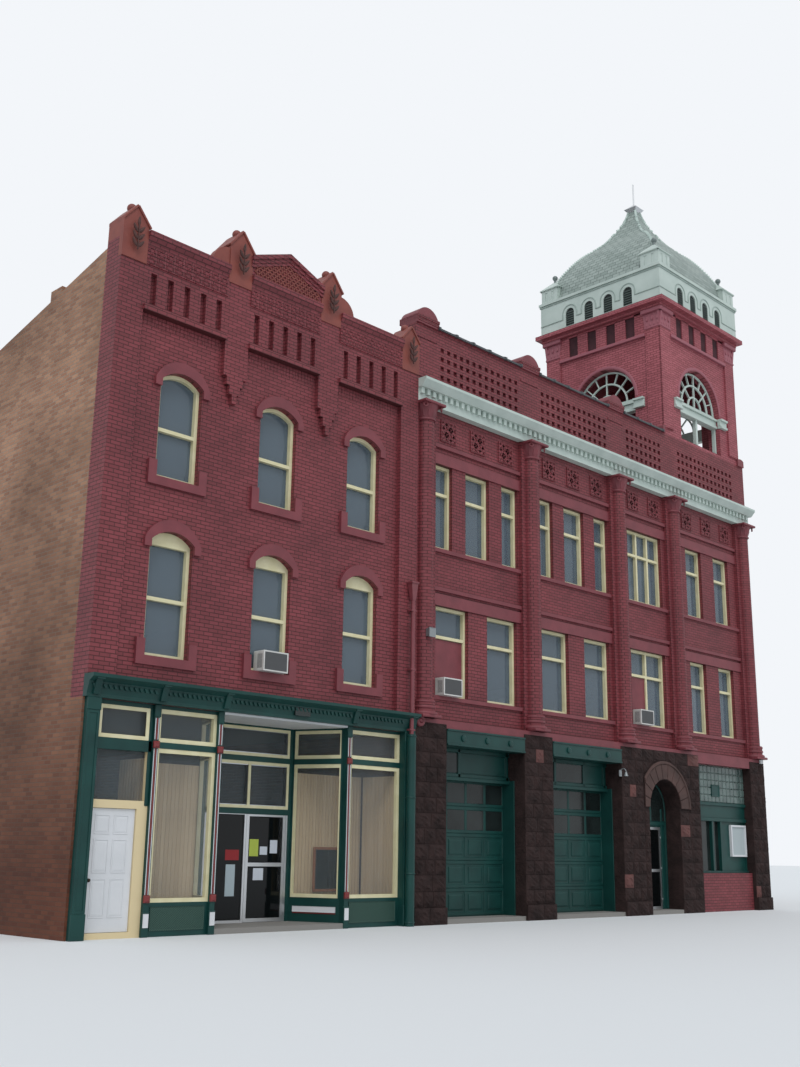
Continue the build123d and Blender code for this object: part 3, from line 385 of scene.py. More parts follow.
lattice_pitch = 0.12
lattice_bars_each_way = 31
gable_middle = 4.05
gable_peak = 13.775
rake = atan2(0.38, 0.96)
lattice_bars = []
for lean in (-45, 45):
    bar = to_origin(add_block((0, 0.03), (-0.122, -0.09), (-1.2, 1.2)))
    apply_modifier(bar, "BEVEL", width=0.006, segments=1)
    swing(bar, radians(lean), "Y", (2.2, 0, 13.2))
    lattice_bars.append(repeat(bar, lattice_bars_each_way, (lattice_pitch, 0, 0)))
lattice = join_pieces(lattice_bars)
opening_start, opening_end = 3.16, 4.94
opening_foot, opening_peak = 12.955, 13.55
for point, normal in (((opening_start, 0, opening_foot), (-1, 0, 0)),
                      ((opening_end, 0, opening_foot), (1, 0, 0)),
                      ((gable_middle, 0, opening_foot), (0, 0, -1)),
                      ((gable_middle, 0, opening_peak), (-sin(rake), 0, cos(rake))),
                      ((gable_middle, 0, opening_peak), (sin(rake), 0, cos(rake)))):
    slice_off(lattice, point, normal)
fit_piece(lattice, "gable_lattice", terracotta)

# Raking mouldings of the low gable: three bands that step back towards the lattice, cut off upright
# where they meet the clay fronts.
band_end = 0.99
bands = []
for drop, thick, proud in ((0.0, 0.09, 0.085), (0.09, 0.08, 0.05), (0.17, 0.07, 0.032)):
    for side in (-1, 1):
        band = add_block((-1.3, 1.3), (-0.1 - proud, -0.05), (-drop - thick, -drop))
        swing(to_origin(band), side * rake, "Y", (gable_middle, 0, gable_peak))
        for point, normal in (((gable_middle - band_end, 0, 0), (-1, 0, 0)),
                              ((gable_middle + band_end, 0, 0), (1, 0, 0)),
                              ((gable_middle, 0, 0), (-side, 0, 0))):
            slice_off(band, point, normal)
        bands.append(band)
fit_piece(join_pieces(bands), "gable_bands", maroon_brick)

# Coping slabs of the clay fronts: two thin slabs that lean together over each gabled head, and a small
# neck under each ball.
outer_fronts = (0.28, 7.82)
inner_fronts = (2.8, 5.3)
slabs = []
for middle, half, shoulder, peak in ([(middle, 0.28, 13.0, 13.34) for middle in outer_fronts] +
                                     [(middle, 0.29, 13.42, 13.79) for middle in inner_fronts]):
    lean = atan2(peak - shoulder, half)
    run = (half ** 2 + (peak - shoulder) ** 2) ** 0.5
    for side in (-1, 1):
        slab = to_origin(add_block((-0.02, run + 0.03), (-0.15, 0.41), (0, 0.045)))
        if side < 0:
            slab.data.transform(Matrix.Translation((-run, 0, 0)))
        swing(slab, side * lean, "Y", (middle, 0, peak))
        slabs.append(apply_modifier(slab, "BEVEL", width=0.012, segments=2))
slabs = join_pieces(slabs)
office_width = 8.1
slice_off(slabs, (0, 0, 0), (-1, 0, 0))
slice_off(slabs, (office_width, 0, 0), (1, 0, 0))
fit_piece(slabs, "pinnacle_slabs", terracotta)

# Leaf sprigs on the four clay fronts: a stem with three pairs of leaves and one at its tip, moulded in
# the same clay, which is painted darker as the shade in the hollows.
shaded_clay, tree, shader = new_material("moulded terracotta with painted shade", Roughness=0.7)
tree.links.new(blotches(tree, "#38201d", "#54302a", 0.08), shader.inputs["Base Color"])


def add_leaf(length, width, depth):
    """A pointed leaf that lies against a wall face, its foot at the origin and its tip up."""
    bpy.ops.object.select_all(action="DESELECT")
    bpy.ops.mesh.primitive_uv_sphere_add(segments=8, ring_count=6, radius=0.5, location=(0, 0, 0.5))
    leaf = bpy.context.object
    leaf.scale = (width, depth, 1)
    bpy.ops.object.transform_apply(location=True, rotation=False, scale=True)
    for vertex in leaf.data.vertices:
        point = vertex.co
        point.x *= 1.15 - 0.75 * max(0, point.z - 0.35)
        point.y -= depth * 0.9 * max(0, point.z - 0.6)
    leaf.data.transform(Matrix.Scale(length, 4))
    bpy.ops.object.shade_smooth()
    return leaf


def copy_piece(piece, move=(0, 0, 0), turn=Matrix()):
    """A copy with a mesh of its own, turned about the origin by a matrix and then moved."""
    twin = piece.copy()
    twin.data = piece.data.copy()
    twin.data.transform(Matrix.Translation(Vector(move)) @ turn)
    scene.collection.objects.link(twin)
    return twin


leaf = add_leaf(0.19, 0.36, 0.28)
sprig = [copy_piece(leaf, (0, 0, 0.5))]
for n in range(3):
    for lean in (-1, 1):
        spread = Matrix.Rotation(radians(lean * 38), 4, "Y")
        sprig.append(copy_piece(leaf, (lean * 0.012, 0, 0.06 + n * 0.15), spread))
stem = to_origin(add_block((-0.011, 0.011), (-0.02, 0.01), (0, 0.56)))
sprig.append(apply_modifier(stem, "BEVEL", width=0.008, segments=2))
sprig = join_pieces(sprig)
sprigs = [copy_piece(sprig, left_end + Vector((middle, -0.2, 12.42))) for middle in outer_fronts]
sprigs += [copy_piece(sprig, left_end + Vector((middle, -0.2, 12.83))) for middle in inner_fronts]
bpy.data.objects.remove(sprig)
fit_piece(join_pieces(sprigs), "leaf_sprigs", shaded_clay)

# Window joinery: softwood under old cream gloss paint. The plain windows of the side and rear have a frame
# with a meeting rail, over sills of sawn bluestone.
cream_gloss, tree, shader = new_material("cream gloss on softwood", Roughness=0.42)
tree.links.new(blotches(tree, "#cfc79c", "#ded7b2", 0.2), shader.inputs["Base Color"])
dress(cream_gloss, "office_sashes", "hall_frames", "shop_frames")


def make_frame(across, deep, high, bar):
    """A picture-frame shape: a block with its middle cut through by bridging two insets."""
    piece = add_block(across, deep, high)
    pick_faces(piece, lambda middle, normal: abs(normal.y) > 0.9)
    bpy.ops.mesh.inset(thickness=bar, depth=0)
    bpy.ops.mesh.bridge_edge_loops()
    bpy.ops.object.mode_set(mode="OBJECT")
    return apply_modifier(piece, "BEVEL", width=0.004, segments=1)


frames, sills = [], []
rear_face = 13.895
office_rows = ((1.0, 3.0), (4.83, 6.98), (8.19, 10.12))
hall_rows = ((1.0, 3.0), (4.89, 6.95), (8.29, 10.34))
for row_start, pitch, count, half, rows, head in ((0, 2.7, 3, 0.48, office_rows, 0.02),
                                                  (office_width, 2.55, 6, 0.56, hall_rows, 0)):
    for n in range(count):
        middle = row_start + (n + 0.5) * pitch
        for low, high in rows:
            rail = (low + high) / 2
            frames.append(make_frame((middle - half, middle + half), (rear_face, rear_face + 0.03),
                                     (low, high + head), 0.06))
            frames.append(soft_block((middle - half + 0.05, middle + half - 0.05),
                                     (rear_face, rear_face + 0.035), (rail - 0.025, rail + 0.025)))
            sills.append(soft_block((middle - half - 0.08, middle + half + 0.08), (rear_face + 0.005, 14.0),
                                    (low - 0.12, low)))
side_frames, side_sills = [], []
for n in range(5):
    middle = 0.5 + (n + 0.5) * 2.64
    for low, high in hall_rows[1:]:
        rail = (low + high) / 2
        side_frames.append(make_frame((middle - 0.435, middle + 0.435), (0.1, 0.13), (low, high), 0.06))
        side_frames.append(soft_block((middle - 0.39, middle + 0.39), (0.095, 0.13),
                                      (rail - 0.025, rail + 0.025)))
        side_sills.append(soft_block((middle - 0.5, middle + 0.5), (0.0, 0.1), (low - 0.12, low)))
front_width = 23.4
for pieces, kept in ((side_frames, frames), (side_sills, sills)):
    kept.append(swing(to_origin(join_pieces(pieces)), pi / 2, "Z", (front_width, 0, 0)))
fit_piece(join_pieces(frames), "plain_window_frames", cream_gloss)
plain_stone, tree, shader = new_material("bluestone sill", Roughness=0.8)
tree.links.new(blotches(tree, "#6c6a68", "#8b8886", 0.3), shader.inputs["Base Color"])
fit_piece(join_pieces(sills), "plain_window_sills", plain_stone)

# Window glass: thin float glass set in the sashes in front of dark rooms. It mirrors the pale sky at a
# slant, and its grey-blue colour adds a painted reflection of that sky. Clearer plate glass is in the
# displays.
room_glass, tree, shader = new_material("window glass", Roughness=0.03, Base_Color=linear("#66747e"),
                                        Alpha=0.62)
dress(room_glass, "front_glass", "plain_windows")
plate_glass, tree, shader = new_material("plate glass", Roughness=0.02, Base_Color=linear("#8b969a"),
                                         Alpha=0.14)
dress(plate_glass, "shop_glass")

# Boards that fill two of the hall's lights beside the air conditioners: a flat panel in a raised margin,
# painted with the wall.
infill = [sink_panel(add_block((9.03, 10.0), (0.235, 0.275), (4.97, 6.2)), 0.05, 0.008),
          sink_panel(add_block((16.865, 17.6), (0.235, 0.275), (4.97, 6.2)), 0.05, 0.008)]
fit_piece(join_pieces(infill), "light_infills", mauve_trim)

# Shopfront and engine-bay woodwork and ironwork: dark teal-green gloss paint on planed wood. The cornice
# has a zigzag of slanted wooden teeth on its fascia, nailed on right under the crown.
green_gloss, tree, shader = new_material("dark green gloss paint", Roughness=0.42, Specular_IOR_Level=0.3)
tree.links.new(blotches(tree, "#0d3431", "#15433e", 0.5), shader.inputs["Base Color"])
dress(green_gloss, "shop_cornice", "shop_columns", "shop_bulkheads", "bay_beams", "garage_doors",
      "arch_door_frame", "shop_window")
tooth = add_block((0.06, 0.115), (-0.195, -0.14), (4.135, 4.2))
pick_faces(tooth, lambda middle, normal: normal.z < -0.9)
bpy.ops.transform.translate(value=(0.04, 0.012, 0))
bpy.ops.object.mode_set(mode="OBJECT")
tooth_pitch = 0.105
teeth = []
for start, end in ((0.06, 1.48), (1.62, 2.9), (3.04, 6.21), (6.35, 7.76)):
    row = copy_piece(tooth, (start - 0.06, 0, 0))
    teeth.append(repeat(row, int((end - start) / tooth_pitch), (tooth_pitch, 0, 0)))
bpy.data.objects.remove(tooth)
fit_piece(join_pieces(teeth), "shop_cornice_teeth", green_gloss)

# Brackets of the shop cornice: sawn wooden consoles with a small cap, over the columns and at both
# ends.
column_middles = (1.55, 2.97, 6.28)
brackets = []
for middle in (0.175, *column_middles, 7.95):
    bracket = add_block((middle - 0.065, middle + 0.065), (-0.25, -0.1), (4.02, 4.31))
    pick_faces(bracket, lambda middle, normal: normal.z < -0.9)
    bpy.ops.transform.resize(value=(1, 0.4, 1), center_override=left_end + Vector((middle, -0.1, 4.02)))
    bpy.ops.object.mode_set(mode="OBJECT")
    brackets.append(apply_modifier(bracket, "BEVEL", width=0.012, segments=2))
    brackets.append(soft_block((middle - 0.08, middle + 0.08), (-0.285, -0.1), (4.27, 4.31), 0.008))
fit_piece(join_pieces(brackets), "shop_brackets", green_gloss)

# A bare number plate on the fascia: black enamel on pressed steel, with a raised rim that catches the
# light.
black_enamel, tree, shader = new_material("black enamel on steel", Roughness=0.25,
                                          Base_Color=linear("#15211f"))
plate = sink_panel(add_block((4.63, 5.02), (-0.185, -0.13), (4.05, 4.21)), 0.012, 0.004)
fit_piece(plate, "number_plate", black_enamel)

# Plinths and caps of the columns and end pilasters, and the frame that makes a sunk panel of each
# pilaster: planted wood.
mounts = []
plinth = (0, 0.42)
cap = (3.76, 3.98)
for start, end, lip in ((0.05, 0.3, 0.01), (7.8, office_width, 0)):
    for high in (plinth, cap):
        mounts.append(soft_block((start - 0.01, end + lip), (-0.13, -0.08), high, 0.01))
    mounts.append(make_frame((start, end), (-0.114, -0.09), (plinth[1], cap[0]), 0.05))
for middle in column_middles:
    for high in (plinth, cap):
        mounts.append(soft_block((middle - 0.068, middle + 0.068), (-0.02, 0.02), high, 0.008))
fit_piece(join_pieces(mounts), "shopfront_mounts", green_gloss)

# Painted stripes of the three slender columns, white, red and white, between red blocks with a raised
# pyramid face at the sill and the transom, and white panels on the plinths.
signal_red, tree, shader = new_material("red gloss paint", Roughness=0.4)
tree.links.new(blotches(tree, "#6e2324", "#7f2b2b", 0.1), shader.inputs["Base Color"])
white_paint, tree, shader = new_material("white gloss paint", Roughness=0.4)
tree.links.new(blotches(tree, "#c9cbcd", "#d9dadc", 0.6), shader.inputs["Base Color"])
dress(white_paint, "side_door", "entry_soffit")
reds, whites = [], []
for middle in column_middles:
    for low, high in ((0.7, 3.2), (3.36, 3.74)):
        for offset, half, group in ((-0.033, 0.007, whites), (0, 0.015, reds), (0.033, 0.007, whites)):
            stripe = (middle + offset - half, middle + offset + half)
            group.append(soft_block(stripe, (-0.006, 0.004), (low, high), 0.002))
    for low in (0.57, 3.21):
        block = add_block((middle - 0.062, middle + 0.062), (-0.03, 0.003), (low, low + 0.125))
        reds.append(sink_panel(block, 0.03, -0.022))
    block = add_block((middle - 0.055, middle + 0.055), (-0.028, -0.012), (0.16, 0.39))
    whites.append(sink_panel(block, 0.012, 0.005))
fit_piece(join_pieces(reds), "column_stripes_red", signal_red)
fit_piece(join_pieces(whites), "column_stripes_white", white_paint)

# Vent panels in the two front bulkheads: wire woven on the slant, held in a beaded frame, under thin
# green paint.
painted_wire, tree, shader = new_material("woven wire under green paint", Roughness=0.6,
                                          Specular_IOR_Level=0.3)
place = add_node(tree, "TexCoord").outputs["Object"]
turned = add_node(tree, "Mapping", {"Vector": place, "Rotation": (0, radians(45), 0)})
wire_pitch = 0.026
slant = add_node(tree, "SeparateXYZ", {"Vector": turned.outputs[0]})
mesh_place = add_node(tree, "CombineXYZ", {"X": slant.outputs["X"], "Y": slant.outputs["Z"]})
wires = add_node(tree, "TexBrick", {
    "Vector": mesh_place.outputs[0], "Color1": linear("#0a1c19"), "Color2": linear("#081613"),
    "Mortar": linear("#3c5a50"), "Scale": 1, "Mortar Size": 0.006, "Brick Width": wire_pitch,
    "Row Height": wire_pitch}, offset=0)
wire_height = add_node(tree, "Bump", {"Height": wires.outputs["Fac"], "Distance": 0.004})
tree.links.new(wires.outputs["Color"], shader.inputs["Base Color"])
tree.links.new(wire_height.outputs[0], shader.inputs["Normal"])
vents = []
for start, end in ((1.68, 2.84), (6.41, 7.72)):
    vents.append(sink_panel(add_block((start, end), (0.046, 0.065), (0.1, 0.5)), 0.02, 0.009))
fit_piece(join_pieces(vents), "bulkhead_vents", painted_wire)

# Green rails between the display windows and the lights over them, and along the top under the
# cornice: planted wood strips.
rails = []
for start, end in ((1.605, 2.915), (6.335, 7.8)):
    rails.append(soft_block((start, end), (0.045, 0.062), (3.215, 3.325)))
    rails.append(soft_block((start, end), (0.045, 0.062), (3.915, 3.98)))
fit_piece(join_pieces(rails), "display_rails", green_gloss)

# Woodwork round the light over the side door: the fixed light sits straight between green posts, and
# only the upper one has a cream frame.
over_door = [soft_block(across, (0.045, 0.062), high)
             for across, high in (((0.3, 0.375), (2.2, 3.98)), ((1.42, 1.495), (2.2, 3.98)),
                                  ((0.3, 1.495), (3.13, 3.33)), ((0.3, 1.495), (3.9, 3.98)),
                                  ((0.3, 0.355), (0.1, 0.45)))]
fit_piece(join_pieces(over_door), "side_light_boards", green_gloss)
fit_piece(make_frame((0.375, 1.42), (0.043, 0.062), (3.33, 3.9), 0.07), "side_light_frame", cream_gloss)

# White panel with a maroon line on the right splay's bulkhead. It is made square to the street and
# turned to the splay's line on plan.
right_splay = ((5.8, 1.2), (6.225, 0.14))
splay_length = (Vector(right_splay[1]) - Vector(right_splay[0])).length
panel = sink_panel(add_block((0.1, splay_length - 0.08), (-0.014, 0.004), (0.29, 0.4)), 0.012, 0.004)
line = soft_block((0.1, splay_length - 0.08), (-0.01, 0.004), (0.262, 0.28), 0.003)


def on_splay(piece, start, end):
    """Moves a piece that was made along the street front on to a slanted line of the plan."""
    run = Vector(end) - Vector(start)
    return swing(to_origin(piece), atan2(run.y, run.x), "Z", (*start, 0))


for piece, name, material in ((panel, "splay_panel", white_paint), (line, "splay_line", signal_red)):
    fit_piece(on_splay(piece, *right_splay), name, material)

# Green rails and stiles round the splayed windows and the lights of the recess, with cream frames
# planted round the dark lights over the glazed door.
splay_rails = []
left_splay = ((3.025, 0.14), (3.5, 1.2))
for start, end in (right_splay, left_splay):
    length = (Vector(end) - Vector(start)).length
    for across, high in (((0, length), (3.215, 3.325)), ((0, length), (3.905, 3.975)),
                         ((0, 0.035), (0.57, 3.975)), ((length - 0.035, length), (0.57, 3.975))):
        splay_rails.append(on_splay(soft_block(across, (-0.014, 0.004), high, 0.004), start, end))
for high in ((2.175, 2.29), (3.215, 3.325), (3.905, 3.94)):
    splay_rails.append(soft_block((3.6, 5.7), (1.183, 1.203), high))
fit_piece(join_pieces(splay_rails), "entry_rails", green_gloss)
entry_frames = [make_frame((3.61, 5.69), (1.184, 1.203), (2.29, 3.215), 0.06),
                make_frame((3.61, 5.69), (1.184, 1.203), (3.325, 3.905), 0.06),
                soft_block((4.615, 4.685), (1.184, 1.203), (2.34, 3.16))]
fit_piece(join_pieces(entry_frames), "entry_light_frames", cream_gloss)

# Boarded backs of the displays: beige painted matchboarding, 90 mm boards nailed upright with a groove
# between them.
matchboard, tree, shader = new_material("beige paint on matchboarding", Roughness=0.6)
board_pitch = 0.09
boards_seen = add_node(tree, "TexBrick", {
    "Vector": wall_vector(tree), "Color1": linear("#d6bd98"), "Color2": linear("#c9ae88"),
    "Mortar": linear("#8f795d"), "Scale": 1, "Mortar Size": 0.004, "Mortar Smooth": 0.2,
    "Brick Width": board_pitch, "Row Height": 6}, offset=0)
groove = add_node(tree, "Bump", {"Height": boards_seen.outputs["Fac"], "Distance": 0.006}, invert=True)
tree.links.new(boards_seen.outputs["Color"], shader.inputs["Base Color"])
tree.links.new(groove.outputs[0], shader.inputs["Normal"])
board = soft_block((0, 0.086), (-0.012, 0.012), (0.1, 3.05), 0.004)
boards = []
for start, end in ((1.62, 3.5), (5.8, 7.78)):
    boards.append(repeat(copy_piece(board, (start, 1.21, 0)), int((end - start) / board_pitch),
                         (board_pitch, 0, 0)))
for across in (1.6, 7.79):
    side = swing(to_origin(copy_piece(board)), pi / 2, "Z", (across, 0.16, 0))
    boards.append(repeat(side, 11, (0, board_pitch, 0)))
bpy.data.objects.remove(board)
fit_piece(join_pieces(boards), "display_backs", matchboard)

# Framed hatch in the back of the right display: an orange-brown stained softwood architrave, nailed
# round a dark pane.
stained_pine, tree, shader = new_material("orange-brown stained pine", Roughness=0.5)
grain_place = add_node(tree, "Mapping", {"Vector": add_node(tree, "TexCoord").outputs["Object"],
                                         "Scale": (40, 40, 4)})
grain = add_node(tree, "TexNoise", {"Vector": grain_place.outputs[0], "Scale": 1, "Detail": 4})
stain = add_node(tree, "Mix", {0: grain.outputs[0], 6: linear("#7c4526"), 7: linear("#a2653c")},
                 data_type="RGBA")
tree.links.new(stain.outputs[2], shader.inputs["Base Color"])
# The near-black colour of this glass is painted shade of the unlit room behind it.
dark_glass, tree, shader = new_material("glass painted with the shade of a dark room", Roughness=0.05,
                                        Base_Color=linear("#0a0d0e"), Specular_IOR_Level=0.25)
fit_piece(make_frame((6.41, 7.2), (1.145, 1.172), (0.66, 1.56), 0.055), "hatch_architrave", stained_pine)
hatch = sink_panel(add_block((6.455, 7.155), (1.172, 1.2), (0.705, 1.515)), 0.01, 0.004)
fit_piece(hatch, "hatch_pane", dark_glass)

# Glazed doors and their fixed sidelight: dull silver anodised aluminium sections that hold glass in a bead,
# painted near black as the shade of the unlit rooms behind. Each door's panes ride on its own leaf.
aluminium, tree, shader = new_material("anodised aluminium", Metallic=1.0, Roughness=0.35,
                                       Base_Color=linear("#c9cbcd"))
dress(aluminium, "entry_frame", "office_door", "arch_door", "roof_cap")
door_foot = 0.106
stile = 0.072
half_rail = 0.037
for name, leaf_body, start, end, near, rail, height in (
        ("office_door_panes", "office_door_leaf", 4.64, 5.65, 1.2, 1.2, 2.1),
        ("arch_door_panes", "arch_door_leaf", 17.375, 18.325, 0.38, 1.1, 2.13)):
    top = door_foot + height
    panes = []
    across = (start + stile, end - stile)
    for high in ((door_foot + stile, rail - half_rail), (rail + half_rail, top - stile)):
        panes.append(sink_panel(add_block(across, (near + 0.006, near + 0.021), high), 0.014, 0.006))
        panes.append(soft_block(across, (near + 0.035, near + 0.043), high, 0.003))
    fit_piece(join_pieces(panes), name, dark_glass, leaf_body)
side_pane = sink_panel(add_block((3.652, 4.582), (1.225, 1.24), (0.152, 2.16)), 0.014, 0.006)
fit_piece(side_pane, "sidelight_pane", dark_glass)

# Plain paper notices: bare sheets taped to the office door and its sidelight. Those on the door turn
# with it.
for name, body, colour, places in (
        ("notice_lime", "office_door_leaf", "#a9b84a", ((4.74, 4.97, 1.36, 1.69),)),
        ("notices_white", "office_door_leaf", "#c3c9d0", ((5.01, 5.2, 1.39, 1.55), (5.27, 5.46, 1.42, 1.68),
                                                         (4.86, 5.12, 0.9, 1.13))),
        ("sidelight_notice_red", "building", "#8e2226", ((4.16, 4.5, 1.28, 1.48),)),
        ("sidelight_notice_white", "building", "#a7b6bb", ((4.19, 4.42, 0.6, 1.2),))):
    paper, tree, shader = new_material("printer paper " + name, Roughness=0.7, Base_Color=linear(colour))
    face = 1.211 if body == "office_door_leaf" else 1.23
    sheets = []
    for start, end, low, high in places:
        sheets.append(soft_block((start, end), (face - 0.0022, face - 0.0002), (low, high), 0.0007))
    fit_piece(join_pieces(sheets), name, paper, body)

# White side door in its unpainted pine frame: three pairs of raised and fielded panels inside planted
# mouldings, painted with the leaf.
pine, tree, shader = new_material("bare pine", Roughness=0.6, Base_Color=linear("#d9c69c"))
dress(pine, "side_door_frame")
fields = []
for low, high in ((0.336, 0.976), (1.066, 1.626), (1.706, 2.036)):
    for start in (0.481, 0.851):
        fields.append(make_frame((start, start + 0.3), (0.087, 0.096), (low, high), 0.022))
        field = add_block((start + 0.035, start + 0.265), (0.0915, 0.096), (low + 0.035, high - 0.035))
        fields.append(sink_panel(field, 0.03, -0.004))
fit_piece(join_pieces(fields), "side_door_panels", white_paint, "side_door_leaf")

# Knob of the side door: a turned bronze ball on a rose over the plain spindle, one on each side of the
# leaf, browned by hands.


def add_rod(place, radius, length, sides, turn=(0, 0, 0)):
    """A round rod about its middle, upright unless a turn is given."""
    bpy.ops.object.select_all(action="DESELECT")
    bpy.ops.mesh.primitive_cylinder_add(vertices=sides, radius=radius, depth=length, rotation=turn,
                                        location=left_end + Vector(place))
    bpy.ops.object.transform_apply(location=True, rotation=True)
    return bpy.context.object


def add_ball(place, radius, segments=16, rings=10):
    """A ball about its middle."""
    bpy.ops.object.select_all(action="DESELECT")
    bpy.ops.mesh.primitive_uv_sphere_add(segments=segments, ring_count=rings, radius=radius,
                                         location=left_end + Vector(place))
    bpy.ops.object.transform_apply(location=True)
    return bpy.context.object


bronze, tree, shader = new_material("aged bronze", Metallic=1.0, Roughness=0.45, Base_Color=linear("#3b332a"))
knobs = []
for side, face in ((-1, 0.095), (1, 0.14)):
    rose = add_rod((0.421, face + side * 0.005, 0.95), 0.033, 0.01, 20, (pi / 2, 0, 0))
    apply_modifier(rose, "BEVEL", width=0.003, segments=2)
    knobs += [add_ball((0.421, face + side * 0.045, 0.95), 0.031), rose]
knobs = join_pieces(knobs)
bpy.ops.object.shade_smooth_by_angle(angle=radians(50))
fit_piece(knobs, "side_door_knobs", bronze, "side_door_leaf")

# Rain pipe: the wide foot is green with the shopfront and has collars at its joints; the pipe and the
# hopper above it are maroon with the wall.


def add_ring(place, radius, bar, around=24, across=8, turn=(0, 0, 0)):
    """A round bar bent to a full ring, level unless a turn is given."""
    bpy.ops.object.select_all(action="DESELECT")
    bpy.ops.mesh.primitive_torus_add(major_segments=around, minor_segments=across, major_radius=radius,
                                     minor_radius=bar, rotation=turn, location=left_end + Vector(place))
    bpy.ops.object.transform_apply(location=True, rotation=True)
    return bpy.context.object


maroon_metal, tree, shader = new_material("maroon paint on cast iron", Roughness=0.45)
tree.links.new(blotches(tree, "#6b3036", "#7d3d43", 0.3), shader.inputs["Base Color"])
pipe_across, pipe_out = 7.905, -0.195
upper_pipe = [add_rod((pipe_across, pipe_out, 5.38), 0.045, 2.96, 20)]
hopper = add_block((7.805, 8.005), (-0.27, -0.1), (6.85, 7.25))
pick_faces(hopper, lambda middle, normal: normal.z < -0.9)
bpy.ops.transform.resize(value=(0.55, 0.55, 1),
                         center_override=left_end + Vector((pipe_across, pipe_out, 6.85)))
bpy.ops.object.mode_set(mode="OBJECT")
upper_pipe.append(apply_modifier(hopper, "BEVEL", width=0.01, segments=1))
upper_pipe.append(soft_block((7.79, 8.02), (-0.285, -0.1), (7.22, 7.27), 0.01))
for high in (4.0, 5.3, 6.6):
    upper_pipe.append(soft_block((7.83, 7.98), (-0.24, -0.1), (high, high + 0.04), 0.008))
upper_pipe = join_pieces(upper_pipe)
bpy.ops.object.shade_smooth_by_angle(angle=radians(40))
fit_piece(upper_pipe, "rain_pipe", maroon_metal)
pipe_foot = [add_rod((pipe_across, pipe_out, 1.96), 0.099, 3.92, 24)]
for high in (0.08, 1.05, 2.6, 3.88):
    pipe_foot.append(add_ring((pipe_across, pipe_out, high), 0.098, 0.016))
pipe_foot = join_pieces(pipe_foot)
bpy.ops.object.shade_smooth_by_angle(angle=radians(40))
fit_piece(pipe_foot, "rain_pipe_foot", green_gloss)

# Window air conditioners: stove-enamelled steel cases with a ribbed grey grille on the street side and
# vent slots in the left cheek.
off_white, tree, shader = new_material("off-white stove enamel", Roughness=0.45)
tree.links.new(blotches(tree, "#b9b8b3", "#d3d2ce", 0.2), shader.inputs["Base Color"])
grey_grille, tree, shader = new_material("grey moulded grille", Roughness=0.5, Base_Color=linear("#4a4b4c"))
case_width, case_height = 0.62, 0.4
for name, start, front, sill in (("office", 3.74, -0.22, 4.83), ("bay_one", 9.01, -0.12, 4.89),
                                 ("bay_three", 16.845, -0.12, 4.89)):
    across, high = (start, start + case_width), (sill, sill + case_height)
    rims = [soft_block(across, (front, front + 0.32), high, 0.012),
            make_frame(across, (front - 0.006, front + 0.02), high, 0.03)]
    rib = soft_block((start + 0.04, start + 0.052), (front - 0.004, front + 0.004),
                     (sill + 0.03, sill + 0.37), 0.002)
    ribs = [repeat(rib, 24, (0.023, 0, 0))]
    ribs.append(sink_panel(add_block((start + 0.028, start + 0.592), (front - 0.001, front + 0.01),
                                     (sill + 0.028, sill + 0.372)), 0.01, 0.0005))
    slot = soft_block((start - 0.003, start + 0.004), (front + 0.05, front + 0.065),
                      (sill + 0.06, sill + 0.34), 0.002)
    ribs.append(repeat(slot, 5, (0, 0.03, 0)))
    fit_piece(join_pieces(rims), "cooler_rim_" + name, off_white)
    fit_piece(join_pieces(ribs), "cooler_grille_" + name, grey_grille)

# Rock-faced ashlar of the ground storey: dark brown-purple sandstone with a gritty crust, in blocks split
# with a pitching tool. Each has a bulging face and drafted edges, and they lie in courses of about a foot
# with thin joints.
brownstone, tree, shader = new_material("rock-faced brownstone", Roughness=0.85, Specular_IOR_Level=0.2)
tree.links.new(blotches(tree, "#1b1413", "#3f2f2d", 0.3, contrast=0.7), shader.inputs["Base Color"])
crust = add_node(tree, "TexNoise", {"Vector": add_node(tree, "TexCoord").outputs["Object"], "Scale": 14,
                                    "Detail": 8, "Roughness": 0.65})
bump = add_node(tree, "Bump", {"Height": crust.outputs[0], "Distance": 0.045, "Strength": 0.9})
tree.links.new(bump.outputs[0], shader.inputs["Normal"])
dress(brownstone, "stone_piers", "stone_arch")
random.seed(7)
stone_courses = (0.0, 0.35, 0.68, 1.02, 1.33, 1.66, 1.99, 2.31, 2.64, 2.96, 3.28, 3.6, 3.92, 4.235)
rough_stone = to_origin(add_block((0, 1), (-0.04, 0.03), (0, 1)))
pick_faces(rough_stone, lambda middle, normal: normal.y < -0.9)
bpy.ops.mesh.inset(thickness=0.06, depth=0)
bpy.ops.mesh.subdivide(number_cuts=4)
bpy.ops.object.mode_set(mode="OBJECT")


def split_face(start, end, low, high, face, proud=0.05):
    """One stone of a given size, its bulge uneven and never the same twice."""
    stone = copy_piece(rough_stone)
    wide, tall = end - start - 0.012, high - low - 0.012
    phase = random.uniform(0, 20)
    for vertex in stone.data.vertices:
        x, y, z = vertex.co
        if y < -0.03:
            edge_way = min(x, 1 - x, z, 1 - z)
            swell = min(1, max(0, edge_way - 0.03) * 5)
            ripple = sin(x * 9 + phase) * cos(z * 7 + phase * 1.7) + 0.6 * sin(x * 23 + z * 17 + phase)
            y = -0.012 - swell * (proud * (0.55 + 0.28 * ripple))
        vertex.co = left_end + Vector((start + 0.006 + x * wide, face + y, low + 0.006 + z * tall))
    return stone


stones, red_stones = [], []
red_share = 0.035


def lay_course(start, end, low, high, face, count):
    """A course of stones of uneven lengths between two ends."""
    inner = [start + (end - start) * (n + random.uniform(-0.22, 0.22)) / count for n in range(1, count)]
    cuts = [start, *inner, end]
    for near, far in zip(cuts[:-1], cuts[1:]):
        kind = red_stones if random.random() < red_share else stones
        kind.append(split_face(near, far, low, high, face))


